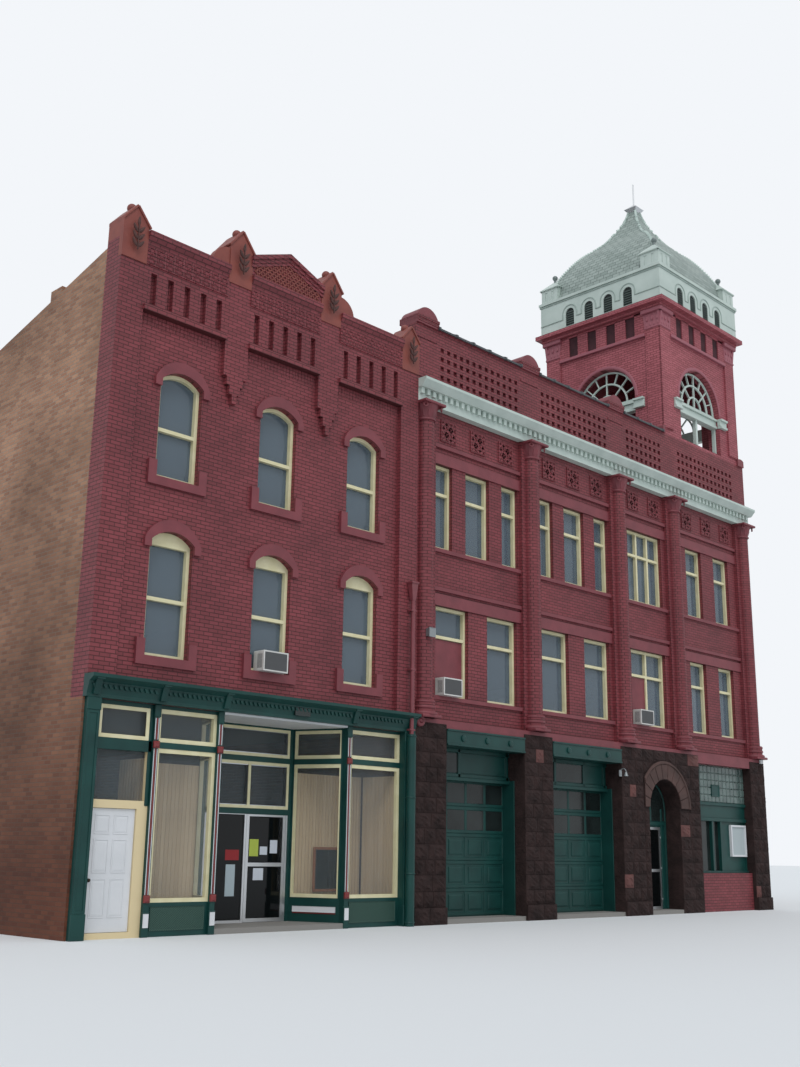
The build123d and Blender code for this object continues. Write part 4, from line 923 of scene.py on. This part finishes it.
for start, end in ((8.1, 9.12), (11.86, 12.96), (15.86, 16.86), (22.55, 23.4)):
    for n, (low, high) in enumerate(zip(stone_courses[:-1], stone_courses[1:])):
        lay_course(start, end, low, high, -0.15 if n == 0 else -0.1, 3 if n % 2 else 2)
arch_middle, arch_spring, arch_half = 17.85, 2.725, 0.75
ring_radius = 1.27
wall_start, wall_end = 16.86, 19.66
least_stone = 0.12
for low, high in zip(stone_courses[:-1], stone_courses[1:]):
    middle = (low + high) / 2
    above = middle - arch_spring
    reach = arch_half if above < 0 else max(0.0, ring_radius ** 2 - above ** 2) ** 0.5
    if above > 0 and reach == 0:
        lay_course(wall_start, wall_end, low, high, -0.1, 5)
        continue
    if arch_middle - reach - wall_start > least_stone:
        lay_course(wall_start, arch_middle - reach, low, high, -0.1, 1)
    lay_course(arch_middle + reach, wall_end, low, high, -0.1, 2)
bpy.data.objects.remove(rough_stone)
fit_piece(join_pieces(stones), "rock_faced_blocks", brownstone)
red_sandstone, tree, shader = new_material("reddish sandstone", Roughness=0.85)
tree.links.new(blotches(tree, "#4e302e", "#6a423d", 0.3), shader.inputs["Base Color"])
fit_piece(join_pieces(red_stones), "reddish_blocks", red_sandstone)

# Arch stones: wedge-shaped voussoirs with smooth drafted faces, standing on the arch ring, and the
# moulded hood that caps them.


def half_ring(middle, radius, bar, across_wall, spring, squash=1.0):
    """Half a round bar bent to an arch over its springing, flattened across the wall."""
    bpy.ops.object.select_all(action="DESELECT")
    bpy.ops.mesh.primitive_torus_add(major_segments=48, minor_segments=6, major_radius=radius,
                                     minor_radius=bar, rotation=(pi / 2, 0, 0), location=(0, 0, 0))
    piece = bpy.context.object
    bpy.ops.object.transform_apply(location=True, rotation=True)
    bpy.ops.object.mode_set(mode="EDIT")
    bpy.ops.mesh.select_all(action="SELECT")
    bpy.ops.transform.resize(value=(1, squash, 1))
    bpy.ops.transform.translate(value=left_end + Vector((middle, across_wall, spring)))
    bpy.ops.object.mode_set(mode="OBJECT")
    return slice_off(piece, (middle, 0, spring), (0, 0, -1))


voussoirs = []
wedge_count = 11
for n in range(wedge_count):
    wedge = to_origin(add_block((-0.5, 0.5), (-0.157, -0.13), (0.76, 1.15)))
    for vertex in wedge.data.vertices:
        vertex.co.x *= 2 * vertex.co.z * sin(pi / (2 * wedge_count)) - 0.014
    swing(wedge, radians(-90 + 180 * (n + 0.5) / wedge_count), "Y", (arch_middle, 0, arch_spring))
    voussoirs.append(apply_modifier(wedge, "BEVEL", width=0.012, segments=2))
voussoirs.append(half_ring(arch_middle, 1.2, 0.045, -0.14, arch_spring, 0.9))
bay_edge = 16.87
voussoirs = slice_off(join_pieces(voussoirs), (bay_edge, 0, 0), (-1, 0, 0))
arch_sandstone, tree, shader = new_material("dressed brown sandstone", Roughness=0.8)
tree.links.new(blotches(tree, "#33231f", "#5a403a", 0.35, contrast=0.7), shader.inputs["Base Color"])
fit_piece(voussoirs, "arch_stones", arch_sandstone)

# Engine-bay doors: sectional overhead doors of pressed green panels, the second and third sections
# glazed, each section with stiles between its panels and a shadow gap over the next.
bay_spans = ((9.12, 11.86), (12.96, 15.86))
door_height = 3.0
sections = 5
glazed_rows = (3, 4)
panels, lites = [], []
for start, end in bay_spans:
    for across, deep, high in (((start, start + 0.03), (0.2, 0.56), (0.1, 3.15)),
                               ((end - 0.03, end), (0.2, 0.56), (0.1, 3.15)),
                               ((start, end), (0.33, 0.42), (3.07, 3.15)),
                               ((start, end), (0.36, 0.41), (3.15, 3.23)),
                               ((start, end), (0.36, 0.41), (3.71, 3.79))):
        panels.append(soft_block(across, deep, high))
    section = door_height / sections
    pitch = (end - start - 0.06) / 4
    for row in range(sections):
        low = 0.12 + row * section
        for rail in ((low, low + 0.07), (low + section - 0.085, low + section - 0.008)):
            panels.append(soft_block((start + 0.03, end - 0.03), (0.535, 0.56), rail, 0.008))
        for n in range(5):
            across = start + 0.03 + n * pitch
            near = max(across - 0.04, start + 0.03)
            far = min(across + 0.04, end - 0.03)
            panels.append(soft_block((near, far), (0.535, 0.56), (low + 0.06, low + section - 0.08), 0.008))
        for n in range(4):
            across = start + 0.03 + n * pitch
            if row in glazed_rows:
                lites.append(sink_panel(add_block((across + 0.035, across + pitch - 0.035), (0.543, 0.553),
                                                  (low + 0.065, low + section - 0.08)), 0.012, 0.004))
            else:
                panels.append(sink_panel(add_block((across + 0.1, across + pitch - 0.1), (0.541, 0.556),
                                                   (low + 0.12, low + section - 0.14)), 0.03, -0.008))
fit_piece(join_pieces(panels), "engine_door_panels", green_gloss)
# The panes are painted near black as the shade of the dark bays behind them, in uneven dusty patches.
bay_pane, tree, shader = new_material("dusty wired glass with painted shade behind", Roughness=0.12, Specular_IOR_Level=0.3)
tree.links.new(blotches(tree, "#0f1413", "#262e2d", 0.8), shader.inputs["Base Color"])
fit_piece(join_pieces(lites), "engine_door_panes", bay_pane)

# Lights over the engine-bay doors: a row of fixed panes in green bars. The beam above them has flanges and
# shows three bolt plates a bay.
upper_lites, upper_bars = [], []
bay_splits = (((0.08, 0.95, 2.66), 1), ((0.08, 0.7, 1.9, 2.78), 2))
for (start, end), (splits, glazed) in zip(bay_spans, bay_splits):
    for n, (near, far) in enumerate(zip(splits[:-1], splits[1:])):
        kind = upper_lites if n < glazed else upper_bars
        light = add_block((start + near + 0.04, start + far - 0.04), (0.385, 0.4), (3.25, 3.69))
        kind.append(sink_panel(light, 0.015, 0.005))
    for split in splits:
        across = start + split
        upper_bars.append(soft_block((across - 0.04, across + 0.04), (0.36, 0.41), (3.15, 3.79)))
fit_piece(join_pieces(upper_bars), "bay_light_bars", green_gloss)
fit_piece(join_pieces(upper_lites), "bay_lights", bay_pane)
plates = []
for start, end in bay_spans:
    for n in (-1, 0, 1):
        plate = add_rod(((start + end) / 2 + n * 0.83, -0.14, 3.97), 0.075, 0.03, 20, (pi / 2, 0, 0))
        plates.append(sink_panel(plate, 0.03, -0.014))
    for low, high in ((3.79, 3.83), (4.11, 4.15)):
        plates.append(soft_block((start, end), (-0.155, -0.12), (low, high)))
fit_piece(join_pieces(plates), "beam_flanges", green_gloss)

# Arched entry: upright boards, a curved head and a mid rail of wood under green gloss paint, with one
# dark arched pane behind them.


def add_arch(middle, width, deep, bottom, spring):
    """A block with a half-round top: a cylinder across the wall, cut level at its middle and drawn down."""
    near, far = deep
    piece = add_rod((middle, (near + far) / 2, spring), width / 2, far - near, 32, (pi / 2, 0, 0))
    slice_off(piece, (middle, 0, spring), (0, 0, -1))
    pick_faces(piece, lambda middle, normal: normal.z < -0.9)
    bpy.ops.mesh.extrude_region_move(TRANSFORM_OT_translate={"value": (0, 0, bottom - spring)})
    bpy.ops.object.mode_set(mode="OBJECT")
    return piece


arch_bars = [half_ring(arch_middle, 0.71, 0.035, 0.375, arch_spring, 0.8)]
arch_bars.append(soft_block((17.1, 18.6), (0.35, 0.385), (2.28, 2.38), 0.01))
for low, high in ((17.1, 17.17), (17.3, 17.37), (18.33, 18.4), (18.53, 18.6)):
    arch_bars.append(soft_block((low, high), (0.352, 0.385), (0.11, 2.72), 0.008))
arch_bars.append(soft_block((17.815, 17.885), (0.352, 0.385), (2.38, 3.4), 0.008))
fit_piece(join_pieces(arch_bars), "arch_frame_bars", green_gloss)
arch_light = add_arch(arch_middle, 1.36, (0.366, 0.384), 2.4, arch_spring)
fit_piece(arch_light, "arch_fanlight", bay_pane)

# Shop bay beside the arch: moulded sill, window bars, green boarded band and hollow glass blocks that
# are laid in a grid with pale mortar.
bay_bars = [soft_block((wall_end, 22.55), (0.1, 0.16), high, 0.01)
            for high in ((1.03, 1.09), (2.46, 2.56), (2.9, 2.99))]
for across, near in (((20.62, 20.7), 0.12), ((21.08, 21.16), 0.12), ((21.16, 22.5), 0.165)):
    bay_bars.append(soft_block(across, (near, 0.235), (1.09, 2.5)))
fit_piece(join_pieces(bay_bars), "shop_bay_bars", green_gloss)
bay_glass = [sink_panel(add_block(span, (0.215, 0.229), (1.1, 2.48)), 0.012, 0.004)
             for span in ((19.74, 20.62), (20.7, 21.08))]
fit_piece(join_pieces(bay_glass), "shop_bay_panes", bay_pane)
case = make_frame((21.63, 22.47), (0.085, 0.17), (1.49, 2.38), 0.055)
fit_piece(case, "shop_bay_case", white_paint)
bare_sheet, tree, shader = new_material("bare backing board", Roughness=0.7, Base_Color=linear("#a9b3b4"))
sheet = sink_panel(add_block((21.68, 22.42), (0.12, 0.168), (1.54, 2.33)), 0.05, 0.003)
fit_piece(sheet, "case_backing", bare_sheet)
mortar, tree, shader = new_material("pale mortar between glass blocks", Roughness=0.6,
                                    Base_Color=linear("#8f9b95"))
dress(mortar, "glass_blocks")
block_pitch = 0.2064
glass_block = sink_panel(add_block((wall_end, 19.855), (0.128, 0.152), (2.995, 3.19)), 0.02, -0.012)
apply_modifier(glass_block, "BEVEL", width=0.008, segments=1)
rows = repeat(repeat(glass_block, 14, (block_pitch, 0, 0)), 5, (0, 0, block_pitch))
pressed_glass, tree, shader = new_material("pressed glass block face", Roughness=0.18)
tree.links.new(blotches(tree, "#3d4c49", "#5d6f6a", 0.25), shader.inputs["Base Color"])
fit_piece(rows, "glass_block_faces", pressed_glass)
vent = sink_panel(soft_block((20.66, 21.09), (0.09, 0.14), (3.15, 3.49)), 0.04, 0.02)
fit_piece(vent, "shop_bay_vent", green_gloss)

# Lamps: a gooseneck lamp on a bent pipe beside the second bay, a floodlight on the first pier and a small
# white light at the corner.
lamp_grey, tree, shader = new_material("galvanised lamp metal", Metallic=0.6, Roughness=0.5,
                                       Base_Color=linear("#8d9294"))
bent_pipe = to_origin(half_ring(15.8, 0.09, 0.012, -0.3, 3.56))
bent_pipe.data.transform(Matrix.Translation((-15.8, 0.3, 0)))
lamps = [swing(bent_pipe, pi / 2, "Z", (15.8, -0.2, 0))]
bpy.ops.object.select_all(action="DESELECT")
bpy.ops.mesh.primitive_cone_add(vertices=24, radius1=0.06, radius2=0.02, depth=0.11,
                                location=left_end + Vector((15.8, -0.285, 3.51)))
shade = bpy.context.object
bpy.ops.object.transform_apply(location=True)
lamps.append(apply_modifier(shade, "BEVEL", width=0.008, segments=2))
lamps.append(soft_block((15.75, 15.85), (-0.13, -0.09), (3.45, 3.62), 0.01))
flood = add_block((8.33, 8.49), (-0.32, -0.19), (6.12, 6.28))
pick_faces(flood, lambda middle, normal: normal.y < -0.9)
bpy.ops.transform.resize(value=(1.3, 1, 1.3), center_override=left_end + Vector((8.41, -0.32, 6.2)))
bpy.ops.object.mode_set(mode="OBJECT")
lamps.append(sink_panel(flood, 0.02, 0.01))
fit_piece(join_pieces(lamps), "street_lamps", lamp_grey)
bulkhead = sink_panel(soft_block((23.14, 23.3), (-0.17, -0.09), (4.22, 4.36), 0.02), 0.02, 0.008)
fit_piece(bulkhead, "corner_light", white_paint)

# Shaft bases: turned stone rings on a square block, under each of the five round shafts, and one ring
# under each capital, painted with the wall.
shaft_middles = (8.46, 12.37, 16.24, 19.04, 23.04)
rings = []
for middle in shaft_middles:
    for low, radius, bar in ((4.42, 0.27, 0.055), (4.56, 0.245, 0.04), (4.68, 0.25, 0.03),
                             (11.24, 0.215, 0.03)):
        rings.append(add_ring((middle, 0, low), radius, bar, 28))
    rings.append(soft_block((middle - 0.3, middle + 0.3), (-0.3, 0.02), (4.33, 4.4), 0.015))
rings = join_pieces(rings)
bpy.ops.object.shade_smooth_by_angle(angle=radians(45))
fit_piece(rings, "shaft_rings", mauve_trim)

# Scroll at the foot of the first shaft, where the base string ends against the office: carved stone
# under the same paint.
scroll = join_pieces([add_ring((8.22, -0.15, 4.25), 0.09, 0.045, turn=(pi / 2, 0, 0)),
                      add_ball((8.22, -0.16, 4.25), 0.05, 12, 8)])
bpy.ops.object.shade_smooth_by_angle(angle=radians(60))
fit_piece(scroll, "base_scroll", mauve_trim)

# Leafy capitals: two rows of carved acanthus leaves round each bell, with scrolls at the corners and
# a square abacus.
carving = []
for middle in shaft_middles:
    for row, radius, size in ((0, 0.2, 1.0), (1, 0.235, 1.05)):
        for n in range(7):
            turn_by = radians(-90 + (n + 0.5 * row) * 180 / 6)
            if turn_by > radians(100):
                continue
            leaf_turn = (Matrix.Rotation(turn_by, 4, "Z") @ Matrix.Translation((0, -radius, 0)) @
                         Matrix.Rotation(radians(14), 4, "X") @ Matrix.Scale(size, 4))
            carving.append(copy_piece(leaf, left_end + Vector((middle, 0, 11.28 + row * 0.15)), leaf_turn))
    for side in (-1, 1):
        carving.append(add_ring((middle + side * 0.27, -0.25, 11.53), 0.045, 0.022, 16, 6,
                                (pi / 2, 0, radians(side * 35))))
    carving.append(soft_block((middle - 0.355, middle + 0.355), (-0.34, 0.02), (11.585, 11.65), 0.015))
fit_piece(join_pieces(carving), "hall_capital_leaves", mauve_trim)

# Basketweave panels under the hall's cornice: bricks laid on the slant in pairs, each pair square to
# the next, in a shallow square frame.
weave_brick = to_origin(soft_block((-0.1, 0.1), (0.078, 0.11), (-0.032, 0.032), 0.005))
weaves = []
hall_bays = ((8.82, 12.01), (12.73, 15.88), (16.6, 18.68), (19.4, 22.68))
for (start, end), count in zip(hall_bays, (3, 3, 2, 3)):
    for n in range(count):
        middle = start + (n + 0.5) * (end - start) / count
        for column in range(-1, 2):
            for row in range(-1, 2):
                tilt_by = Matrix.Rotation(radians(45 if (column + row) % 2 else -45), 4, "Y")
                place = left_end + Vector((middle + column * 0.15, 0, 11.2 + row * 0.15))
                for pair in (-1, 1):
                    spin = tilt_by @ Matrix.Translation((0, 0, pair * 0.037))
                    weaves.append(copy_piece(weave_brick, place, spin))
        weaves.append(make_frame((middle - 0.27, middle + 0.27), (0.07, 0.11), (10.93, 11.47), 0.035))
bpy.data.objects.remove(weave_brick)
fit_piece(join_pieces(weaves), "basketweave_panels", maroon_brick)

# Pressed sheet-metal cornice of the hall and stage of the tower: pale mint paint, chalky and a little
# uneven with age. The joinery of the tower has the same paint.
mint_paint, tree, shader = new_material("pale mint paint on sheet metal", Roughness=0.5)
tree.links.new(blotches(tree, "#abb9b1", "#c0ccc4", 0.6), shader.inputs["Base Color"])
dress(mint_paint, "hall_cornice", "tower_stage")

# Parapet coping: dark glazed saddle tiles bedded in mortar on the bays of the parapet, with a raised
# roll over every joint.
dark_tile, tree, shader = new_material("dark glazed coping tile", Roughness=0.45)
tree.links.new(blotches(tree, "#2f3336", "#4a4f52", 0.4), shader.inputs["Base Color"])
saddles = []
for start, end in hall_bays[:3]:
    saddle = add_block((start, end), (-0.085, 0.585), (13.652, 13.70))
    pick_faces(saddle, lambda middle, normal: normal.z > 0.9)
    bpy.ops.mesh.extrude_region_move(TRANSFORM_OT_translate={"value": (0, 0, 0.11)})
    bpy.ops.transform.resize(value=(1, 0.12, 1),
                             center_override=left_end + Vector(((start + end) / 2, 0.25, 13.81)))
    bpy.ops.object.mode_set(mode="OBJECT")
    saddles.append(saddle)
    count = int((end - start) / 0.6)
    for n in range(count + 1):
        across = start + 0.04 + n * (end - start - 0.08) / count
        roll = add_block((across - 0.035, across + 0.035), (-0.1, 0.6), (13.65, 13.725))
        pick_faces(roll, lambda middle, normal: normal.z > 0.9)
        bpy.ops.mesh.extrude_region_move(TRANSFORM_OT_translate={"value": (0, 0, 0.115)})
        bpy.ops.transform.resize(value=(1, 0.14, 1), center_override=left_end + Vector((across, 0.25, 13.84)))
        bpy.ops.object.mode_set(mode="OBJECT")
        saddles.append(apply_modifier(roll, "BEVEL", width=0.015, segments=2))
fit_piece(join_pieces(saddles), "coping_tiles", dark_tile)

# Neck mouldings of the parapet piers: two brick courses that step out under each domed cap, and a
# string at the foot and head of each pier, all painted with the wall.
necks = []
for start, end in ((office_width, 8.82), (12.01, 12.73), (15.88, 16.6)):
    for low, high, proud in ((13.78, 13.86, 0.08), (13.7, 13.78, 0.065)):
        necks.append(soft_block((max(start - 0.03, office_width), end + 0.03), (-proud, 0.56), (low, high)))
    for low in (12.3, 13.3):
        necks.append(soft_block((start, end), (-0.02, 0.02), (low, low + 0.06)))
fit_piece(join_pieces(necks), "pier_necks", maroon_brick)

# Tower walls above the parapet: each has corner strips, a string course and four dark slots between
# short brick piers, all laid with the wall and painted with it. One face is built up and then turned
# about the tower's axis for the other three.
tower_middle = 20.92
tower_axis = left_end + Vector((tower_middle, 2.12, 0))


def four_sides(piece, name, material):
    """A street-face piece of the tower with its three copies round the tower, as one piece."""
    sides = [piece]
    for n in (1, 2, 3):
        spin = Matrix.Rotation(n * pi / 2, 4, "Z") @ Matrix.Translation(-tower_axis)
        sides.append(copy_piece(piece, tower_axis, spin))
    return fit_piece(join_pieces(sides), name, material)


corner_strips = ((18.75, 19.3), (22.54, 23.088))
slot_pitch = 0.72
strips = [soft_block(across, (-0.05, 0.02), (13.86, 17.13)) for across in corner_strips]
strips += [soft_block(across, (-0.05, 0.02), (17.0, 17.73)) for across in ((19.3, 19.675), (22.165, 22.54))]
strips.append(repeat(soft_block((20.005, 20.395), (-0.05, 0.02), (17.0, 17.7)), 3, (slot_pitch, 0, 0)))
strips.append(soft_block((19.3, 22.54), (-0.05, 0.02), (17.67, 17.735)))
four_sides(join_pieces(strips), "tower_strips", sunlit_brick)
pink_paint, tree, shader = new_material("pink paint on dressed stone", Roughness=0.55,
                                        Base_Color=linear("#93525c"))
string = soft_block((19.3, 22.54), (-0.09, 0.02), (16.9, 17.0), 0.012)
four_sides(string, "tower_string", pink_paint)
slot_dark, tree, shader = new_material("sooty brick in shade", Roughness=0.9)
tree.links.new(blotches(tree, "#2c1417", "#47222a", 0.2), shader.inputs["Base Color"])
slot = sink_panel(add_block((19.68, 20.0), (-0.012, 0.01), (17.04, 17.68)), 0.02, 0.008)
four_sides(repeat(slot, 4, (slot_pitch, 0, 0)), "tower_slots", slot_dark)

# Corner capitals of the tower: a flared block over each strip with leaves in two rows and a square
# slab on it, cast and painted with the strips.
lean_out = Matrix.Rotation(radians(-14), 4, "X") @ Matrix.Scale(1.25, 4)
capitals = []
for start, end in corner_strips:
    neck = soft_block((start - 0.02, end + 0.02), (-0.075, 0.02), (17.1, 17.17), 0.015)
    bell = add_block((start, end), (-0.06, 0.02), (17.17, 17.6))
    pick_faces(bell, lambda middle, normal: normal.z > 0.9)
    bpy.ops.transform.resize(value=(1.2, 1, 1),
                             center_override=left_end + Vector(((start + end) / 2, 0, 17.6)))
    bpy.ops.object.mode_set(mode="OBJECT")
    slab = soft_block((start - 0.09, end + 0.09), (-0.148, 0.02), (17.6, 17.735), 0.02)
    capitals += [neck, bell, slab]
    for row, count in ((0, 4), (1, 3)):
        for n in range(count):
            across = start + (n + 0.5) * (end - start) / count
            place = left_end + Vector((across, -0.06 - row * 0.02, 17.17 + row * 0.17))
            capitals.append(copy_piece(leaf, place, lean_out))
four_sides(join_pieces(capitals), "tower_corner_capitals", pink_paint)
bpy.data.objects.remove(leaf)

# Joinery of the four tower arches: a moulded transom that runs on over the jambs as an impost, a
# mullion under it, and a fanlight of two half rings with bars between them, all in pale mint paint.
imposts = []
for low, high, proud in ((14.66, 14.74, 0.1), (14.74, 14.9, 0.065), (14.9, 14.97, 0.12)):
    imposts.append(soft_block((19.42, 19.8), (-proud, 0.05), (low, high), 0.01))
    imposts.append(soft_block((22.04, 22.42), (-proud, 0.05), (low, high), 0.01))
    imposts.append(soft_block((19.74, 22.1), (0.17 - proud, 0.3), (low, high), 0.01))
four_sides(join_pieces(imposts), "tower_imposts", mint_paint)
posts = [soft_block((20.87, 20.97), (0.14, 0.26), (13.7, 14.67)),
         soft_block((19.77, 19.83), (0.14, 0.26), (13.74, 14.67)),
         soft_block((22.01, 22.07), (0.14, 0.26), (13.74, 14.67))]
four_sides(join_pieces(posts), "tower_mullions", mint_paint)
fan_spring = 15.06
outer_ring, middle_ring, inner_ring = 1.115, 0.74, 0.36
fan = [half_ring(tower_middle, radius, 0.034, 0.2, fan_spring, 1.1)
       for radius in (outer_ring, middle_ring, inner_ring)]
for n in range(9):
    lean = radians(-90 + n * 22.5)
    for inner, outer in ((inner_ring, middle_ring), (middle_ring, 1.11)):
        if inner == inner_ring and n % 2:
            continue
        bar = soft_block((-0.017, 0.017), (0.17, 0.23), (inner, outer), 0.004)
        fan.append(swing(to_origin(bar), lean, "Y", (tower_middle, 0, fan_spring)))
fan.append(soft_block((19.78, 22.06), (0.16, 0.24), (14.96, 15.08)))
fan.append(soft_block((20.9, 20.94), (0.17, 0.23), (15.06, 15.44)))
four_sides(join_pieces(fan), "tower_fanlights", mint_paint)
arch_rim = half_ring(tower_middle, 1.21, 0.05, 0, 15.08, 0.35)
four_sides(arch_rim, "tower_arch_rims", pink_paint)

# Pale stage under the roof: sheet metal over boards, with four arched louvres in each face and a bead
# that runs level between them and rises round every louvre.


def cut_out(piece, cutter):
    """Cuts one closed shape out of another and clears the cutter away."""
    apply_modifier(piece, "BOOLEAN", operation="DIFFERENCE", solver="EXACT", object=cutter)
    bpy.data.objects.remove(cutter)
    return piece


stage_start, stage_end = 18.64, 23.2
skin = add_block((stage_start, stage_end), (-0.158, -0.118), (17.985, 19.05))
louvre_pitch = 0.74
louvre_spring = 18.52
places = [tower_middle + n * louvre_pitch for n in (-1.5, -0.5, 0.5, 1.5)]
for middle in places:
    skin = cut_out(skin, add_arch(middle, 0.33, (-0.2, -0.1), 18.07, louvre_spring))
four_sides(skin, "stage_skin", mint_paint)
beads = []
for middle in places:
    beads.append(half_ring(middle, 0.275, 0.022, -0.158, louvre_spring))
    for side in (-1, 1):
        foot = middle + side * 0.275
        beads.append(soft_block((foot - 0.022, foot + 0.022), (-0.178, -0.15), (18.33, 18.53), 0.01))
edges = [stage_start, *(edge for middle in places for edge in (middle - 0.275, middle + 0.275)), stage_end]
for start, end in zip(edges[::2], edges[1::2]):
    beads.append(soft_block((start, end), (-0.178, -0.15), (18.32, 18.36), 0.01))
beads.append(soft_block((18.6, 23.24), (-0.19, -0.15), (17.985, 18.04), 0.014))
beads.append(soft_block((18.6, 23.24), (-0.18, -0.15), (18.98, 19.05), 0.014))
# The beads take a darker mint than the stage: painted shade along each bead.
bead_paint, tree, shader = new_material("mint paint darkened as painted shade at its beads", Roughness=0.55)
tree.links.new(blotches(tree, "#8b9b93", "#a0afa7", 0.3), shader.inputs["Base Color"])
four_sides(join_pieces(beads), "stage_beads", bead_paint)
louvre_dark, tree, shader = new_material("louvre paint in shade", Roughness=0.8, Base_Color=linear("#1d2423"))
backs, blades = [], []
for middle in places:
    backs.append(add_arch(middle, 0.326, (-0.125, -0.119), 18.072, louvre_spring))
    for n in range(7):
        low = 18.085 + n * 0.078
        half = 0.16 if low < 18.5 else max(0.06, (0.163 ** 2 - (low + 0.03 - louvre_spring) ** 2) ** 0.5)
        blade = add_block((middle - half, middle + half), (-0.15, -0.125), (low, low + 0.028))
        pick_faces(blade, lambda middle, normal: normal.y < -0.9)
        bpy.ops.transform.translate(value=(0, 0, -0.018))
        bpy.ops.object.mode_set(mode="OBJECT")
        blades.append(blade)
four_sides(join_pieces(backs), "louvre_backs", louvre_dark)
louvre_grey, tree, shader = new_material("weathered grey-green louvre blades", Roughness=0.7)
tree.links.new(blotches(tree, "#3c4a45", "#4c5a55", 0.2), shader.inputs["Base Color"])
four_sides(join_pieces(blades), "louvre_blades", louvre_grey)

# Corner turrets: sheet-metal cheeks with two narrow sunk slots a side, painted with the stage, and a
# lead-coated ball on a small neck.
turret_middles = (18.99, 22.85)
cheeks = []
for centre in turret_middles:
    cheek = add_block((centre - 0.318, centre + 0.318), (-0.14, -0.1), (19.14, 19.62))
    for offset in (-0.13, 0.13):
        cheek = cut_out(cheek, add_block((centre + offset - 0.045, centre + offset + 0.045), (-0.16, -0.126),
                                         (19.22, 19.52)))
    cheeks.append(cheek)
    cheeks.append(soft_block((centre - 0.37, centre + 0.37), (-0.185, -0.1), (19.6, 19.65), 0.012))
    cheeks.append(soft_block((centre - 0.34, centre + 0.34), (-0.16, -0.1), (19.14, 19.19), 0.012))
four_sides(join_pieces(cheeks), "turret_cheeks", mint_paint)
shaded_mint, tree, shader = new_material("mint paint in hollows", Roughness=0.6)
tree.links.new(blotches(tree, "#84938b", "#97a69e", 0.3), shader.inputs["Base Color"])
hollows = []
for centre in turret_middles:
    for offset in (-0.13, 0.13):
        hollow = add_block((centre + offset - 0.044, centre + offset + 0.044), (-0.127, -0.119),
                           (19.221, 19.519))
        hollows.append(sink_panel(hollow, 0.008, 0.003))
four_sides(join_pieces(hollows), "turret_slots", shaded_mint)
ball = join_pieces([add_ball((18.99, 0.19, 20.13), 0.09), add_rod((18.99, 0.19, 20.0), 0.045, 0.12, 16)])
bpy.ops.object.shade_smooth_by_angle(angle=radians(50))
grey_lead, tree, shader = new_material("weathered lead-coated metal", Roughness=0.5)
tree.links.new(blotches(tree, "#5f6a68", "#808a87", 0.1), shader.inputs["Base Color"])
four_sides(ball, "turret_balls", grey_lead)

# Ogee roof: grey-green slates in courses of 130 mm, 250 mm wide, with thin dark joints and a lift at each
# lower edge. Its cap is bare metal.
slate, tree, shader = new_material("grey-green slate", Roughness=0.6)
slate_rows = add_node(tree, "TexBrick", {
    "Vector": wall_vector(tree), "Color1": linear("#84918a"), "Color2": linear("#9aa69f"),
    "Mortar": linear("#5f6a65"), "Scale": 1, "Mortar Size": 0.008, "Mortar Smooth": 0.2, "Bias": 0.0,
    "Brick Width": 0.25, "Row Height": 0.13})
slate_lift = add_node(tree, "Bump", {"Height": slate_rows.outputs["Fac"], "Distance": 0.008}, invert=True)
tree.links.new(slate_rows.outputs["Color"], shader.inputs["Base Color"])
tree.links.new(slate_lift.outputs[0], shader.inputs["Normal"])
dress(slate, "tower_roof")

# Hip rolls of the ogee roof: beaten metal rolls on the four hips, nailed over the slates' ends. They
# follow the roof's own edge, read from its mesh.
roof_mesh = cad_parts["tower_roof"].data
off_the_hip = 0.004
cap_half = 0.12
shortest_run = 0.02
hip = {}
for vertex in roof_mesh.vertices:
    off = vertex.co - tower_axis
    if abs(abs(off.x) - abs(off.y)) < off_the_hip:
        level_z = round(off.z, 2)
        hip[level_z] = max(hip.get(level_z, 0), abs(off.x))
hip_points = [(half, z) for z, half in sorted(hip.items()) if half > cap_half]
rolls = []
for (half, z), (next_half, next_z) in zip(hip_points[:-1], hip_points[1:]):
    if next_half > half + 0.01:
        continue
    start = tower_axis + Vector((-half, -half, z))
    end = tower_axis + Vector((-next_half, -next_half, next_z))
    run = end - start
    if run.length < shortest_run:
        continue
    bpy.ops.object.select_all(action="DESELECT")
    bpy.ops.mesh.primitive_cylinder_add(vertices=10, radius=0.045, depth=run.length + 0.03,
                                        location=(0, 0, 0))
    roll = bpy.context.object
    along = run.to_track_quat("Z", "Y").to_matrix().to_4x4()
    roll.data.transform(Matrix.Translation((start + end) / 2) @ along)
    rolls.append(roll)
roll = join_pieces(rolls)
bpy.ops.object.shade_smooth_by_angle(angle=radians(40))
hip_metal, tree, shader = new_material("pale oxidised sheet metal", Metallic=0.3, Roughness=0.5)
tree.links.new(blotches(tree, "#a3b2ab", "#bccac3", 0.3), shader.inputs["Base Color"])
four_sides(roll, "hip_rolls", hip_metal)
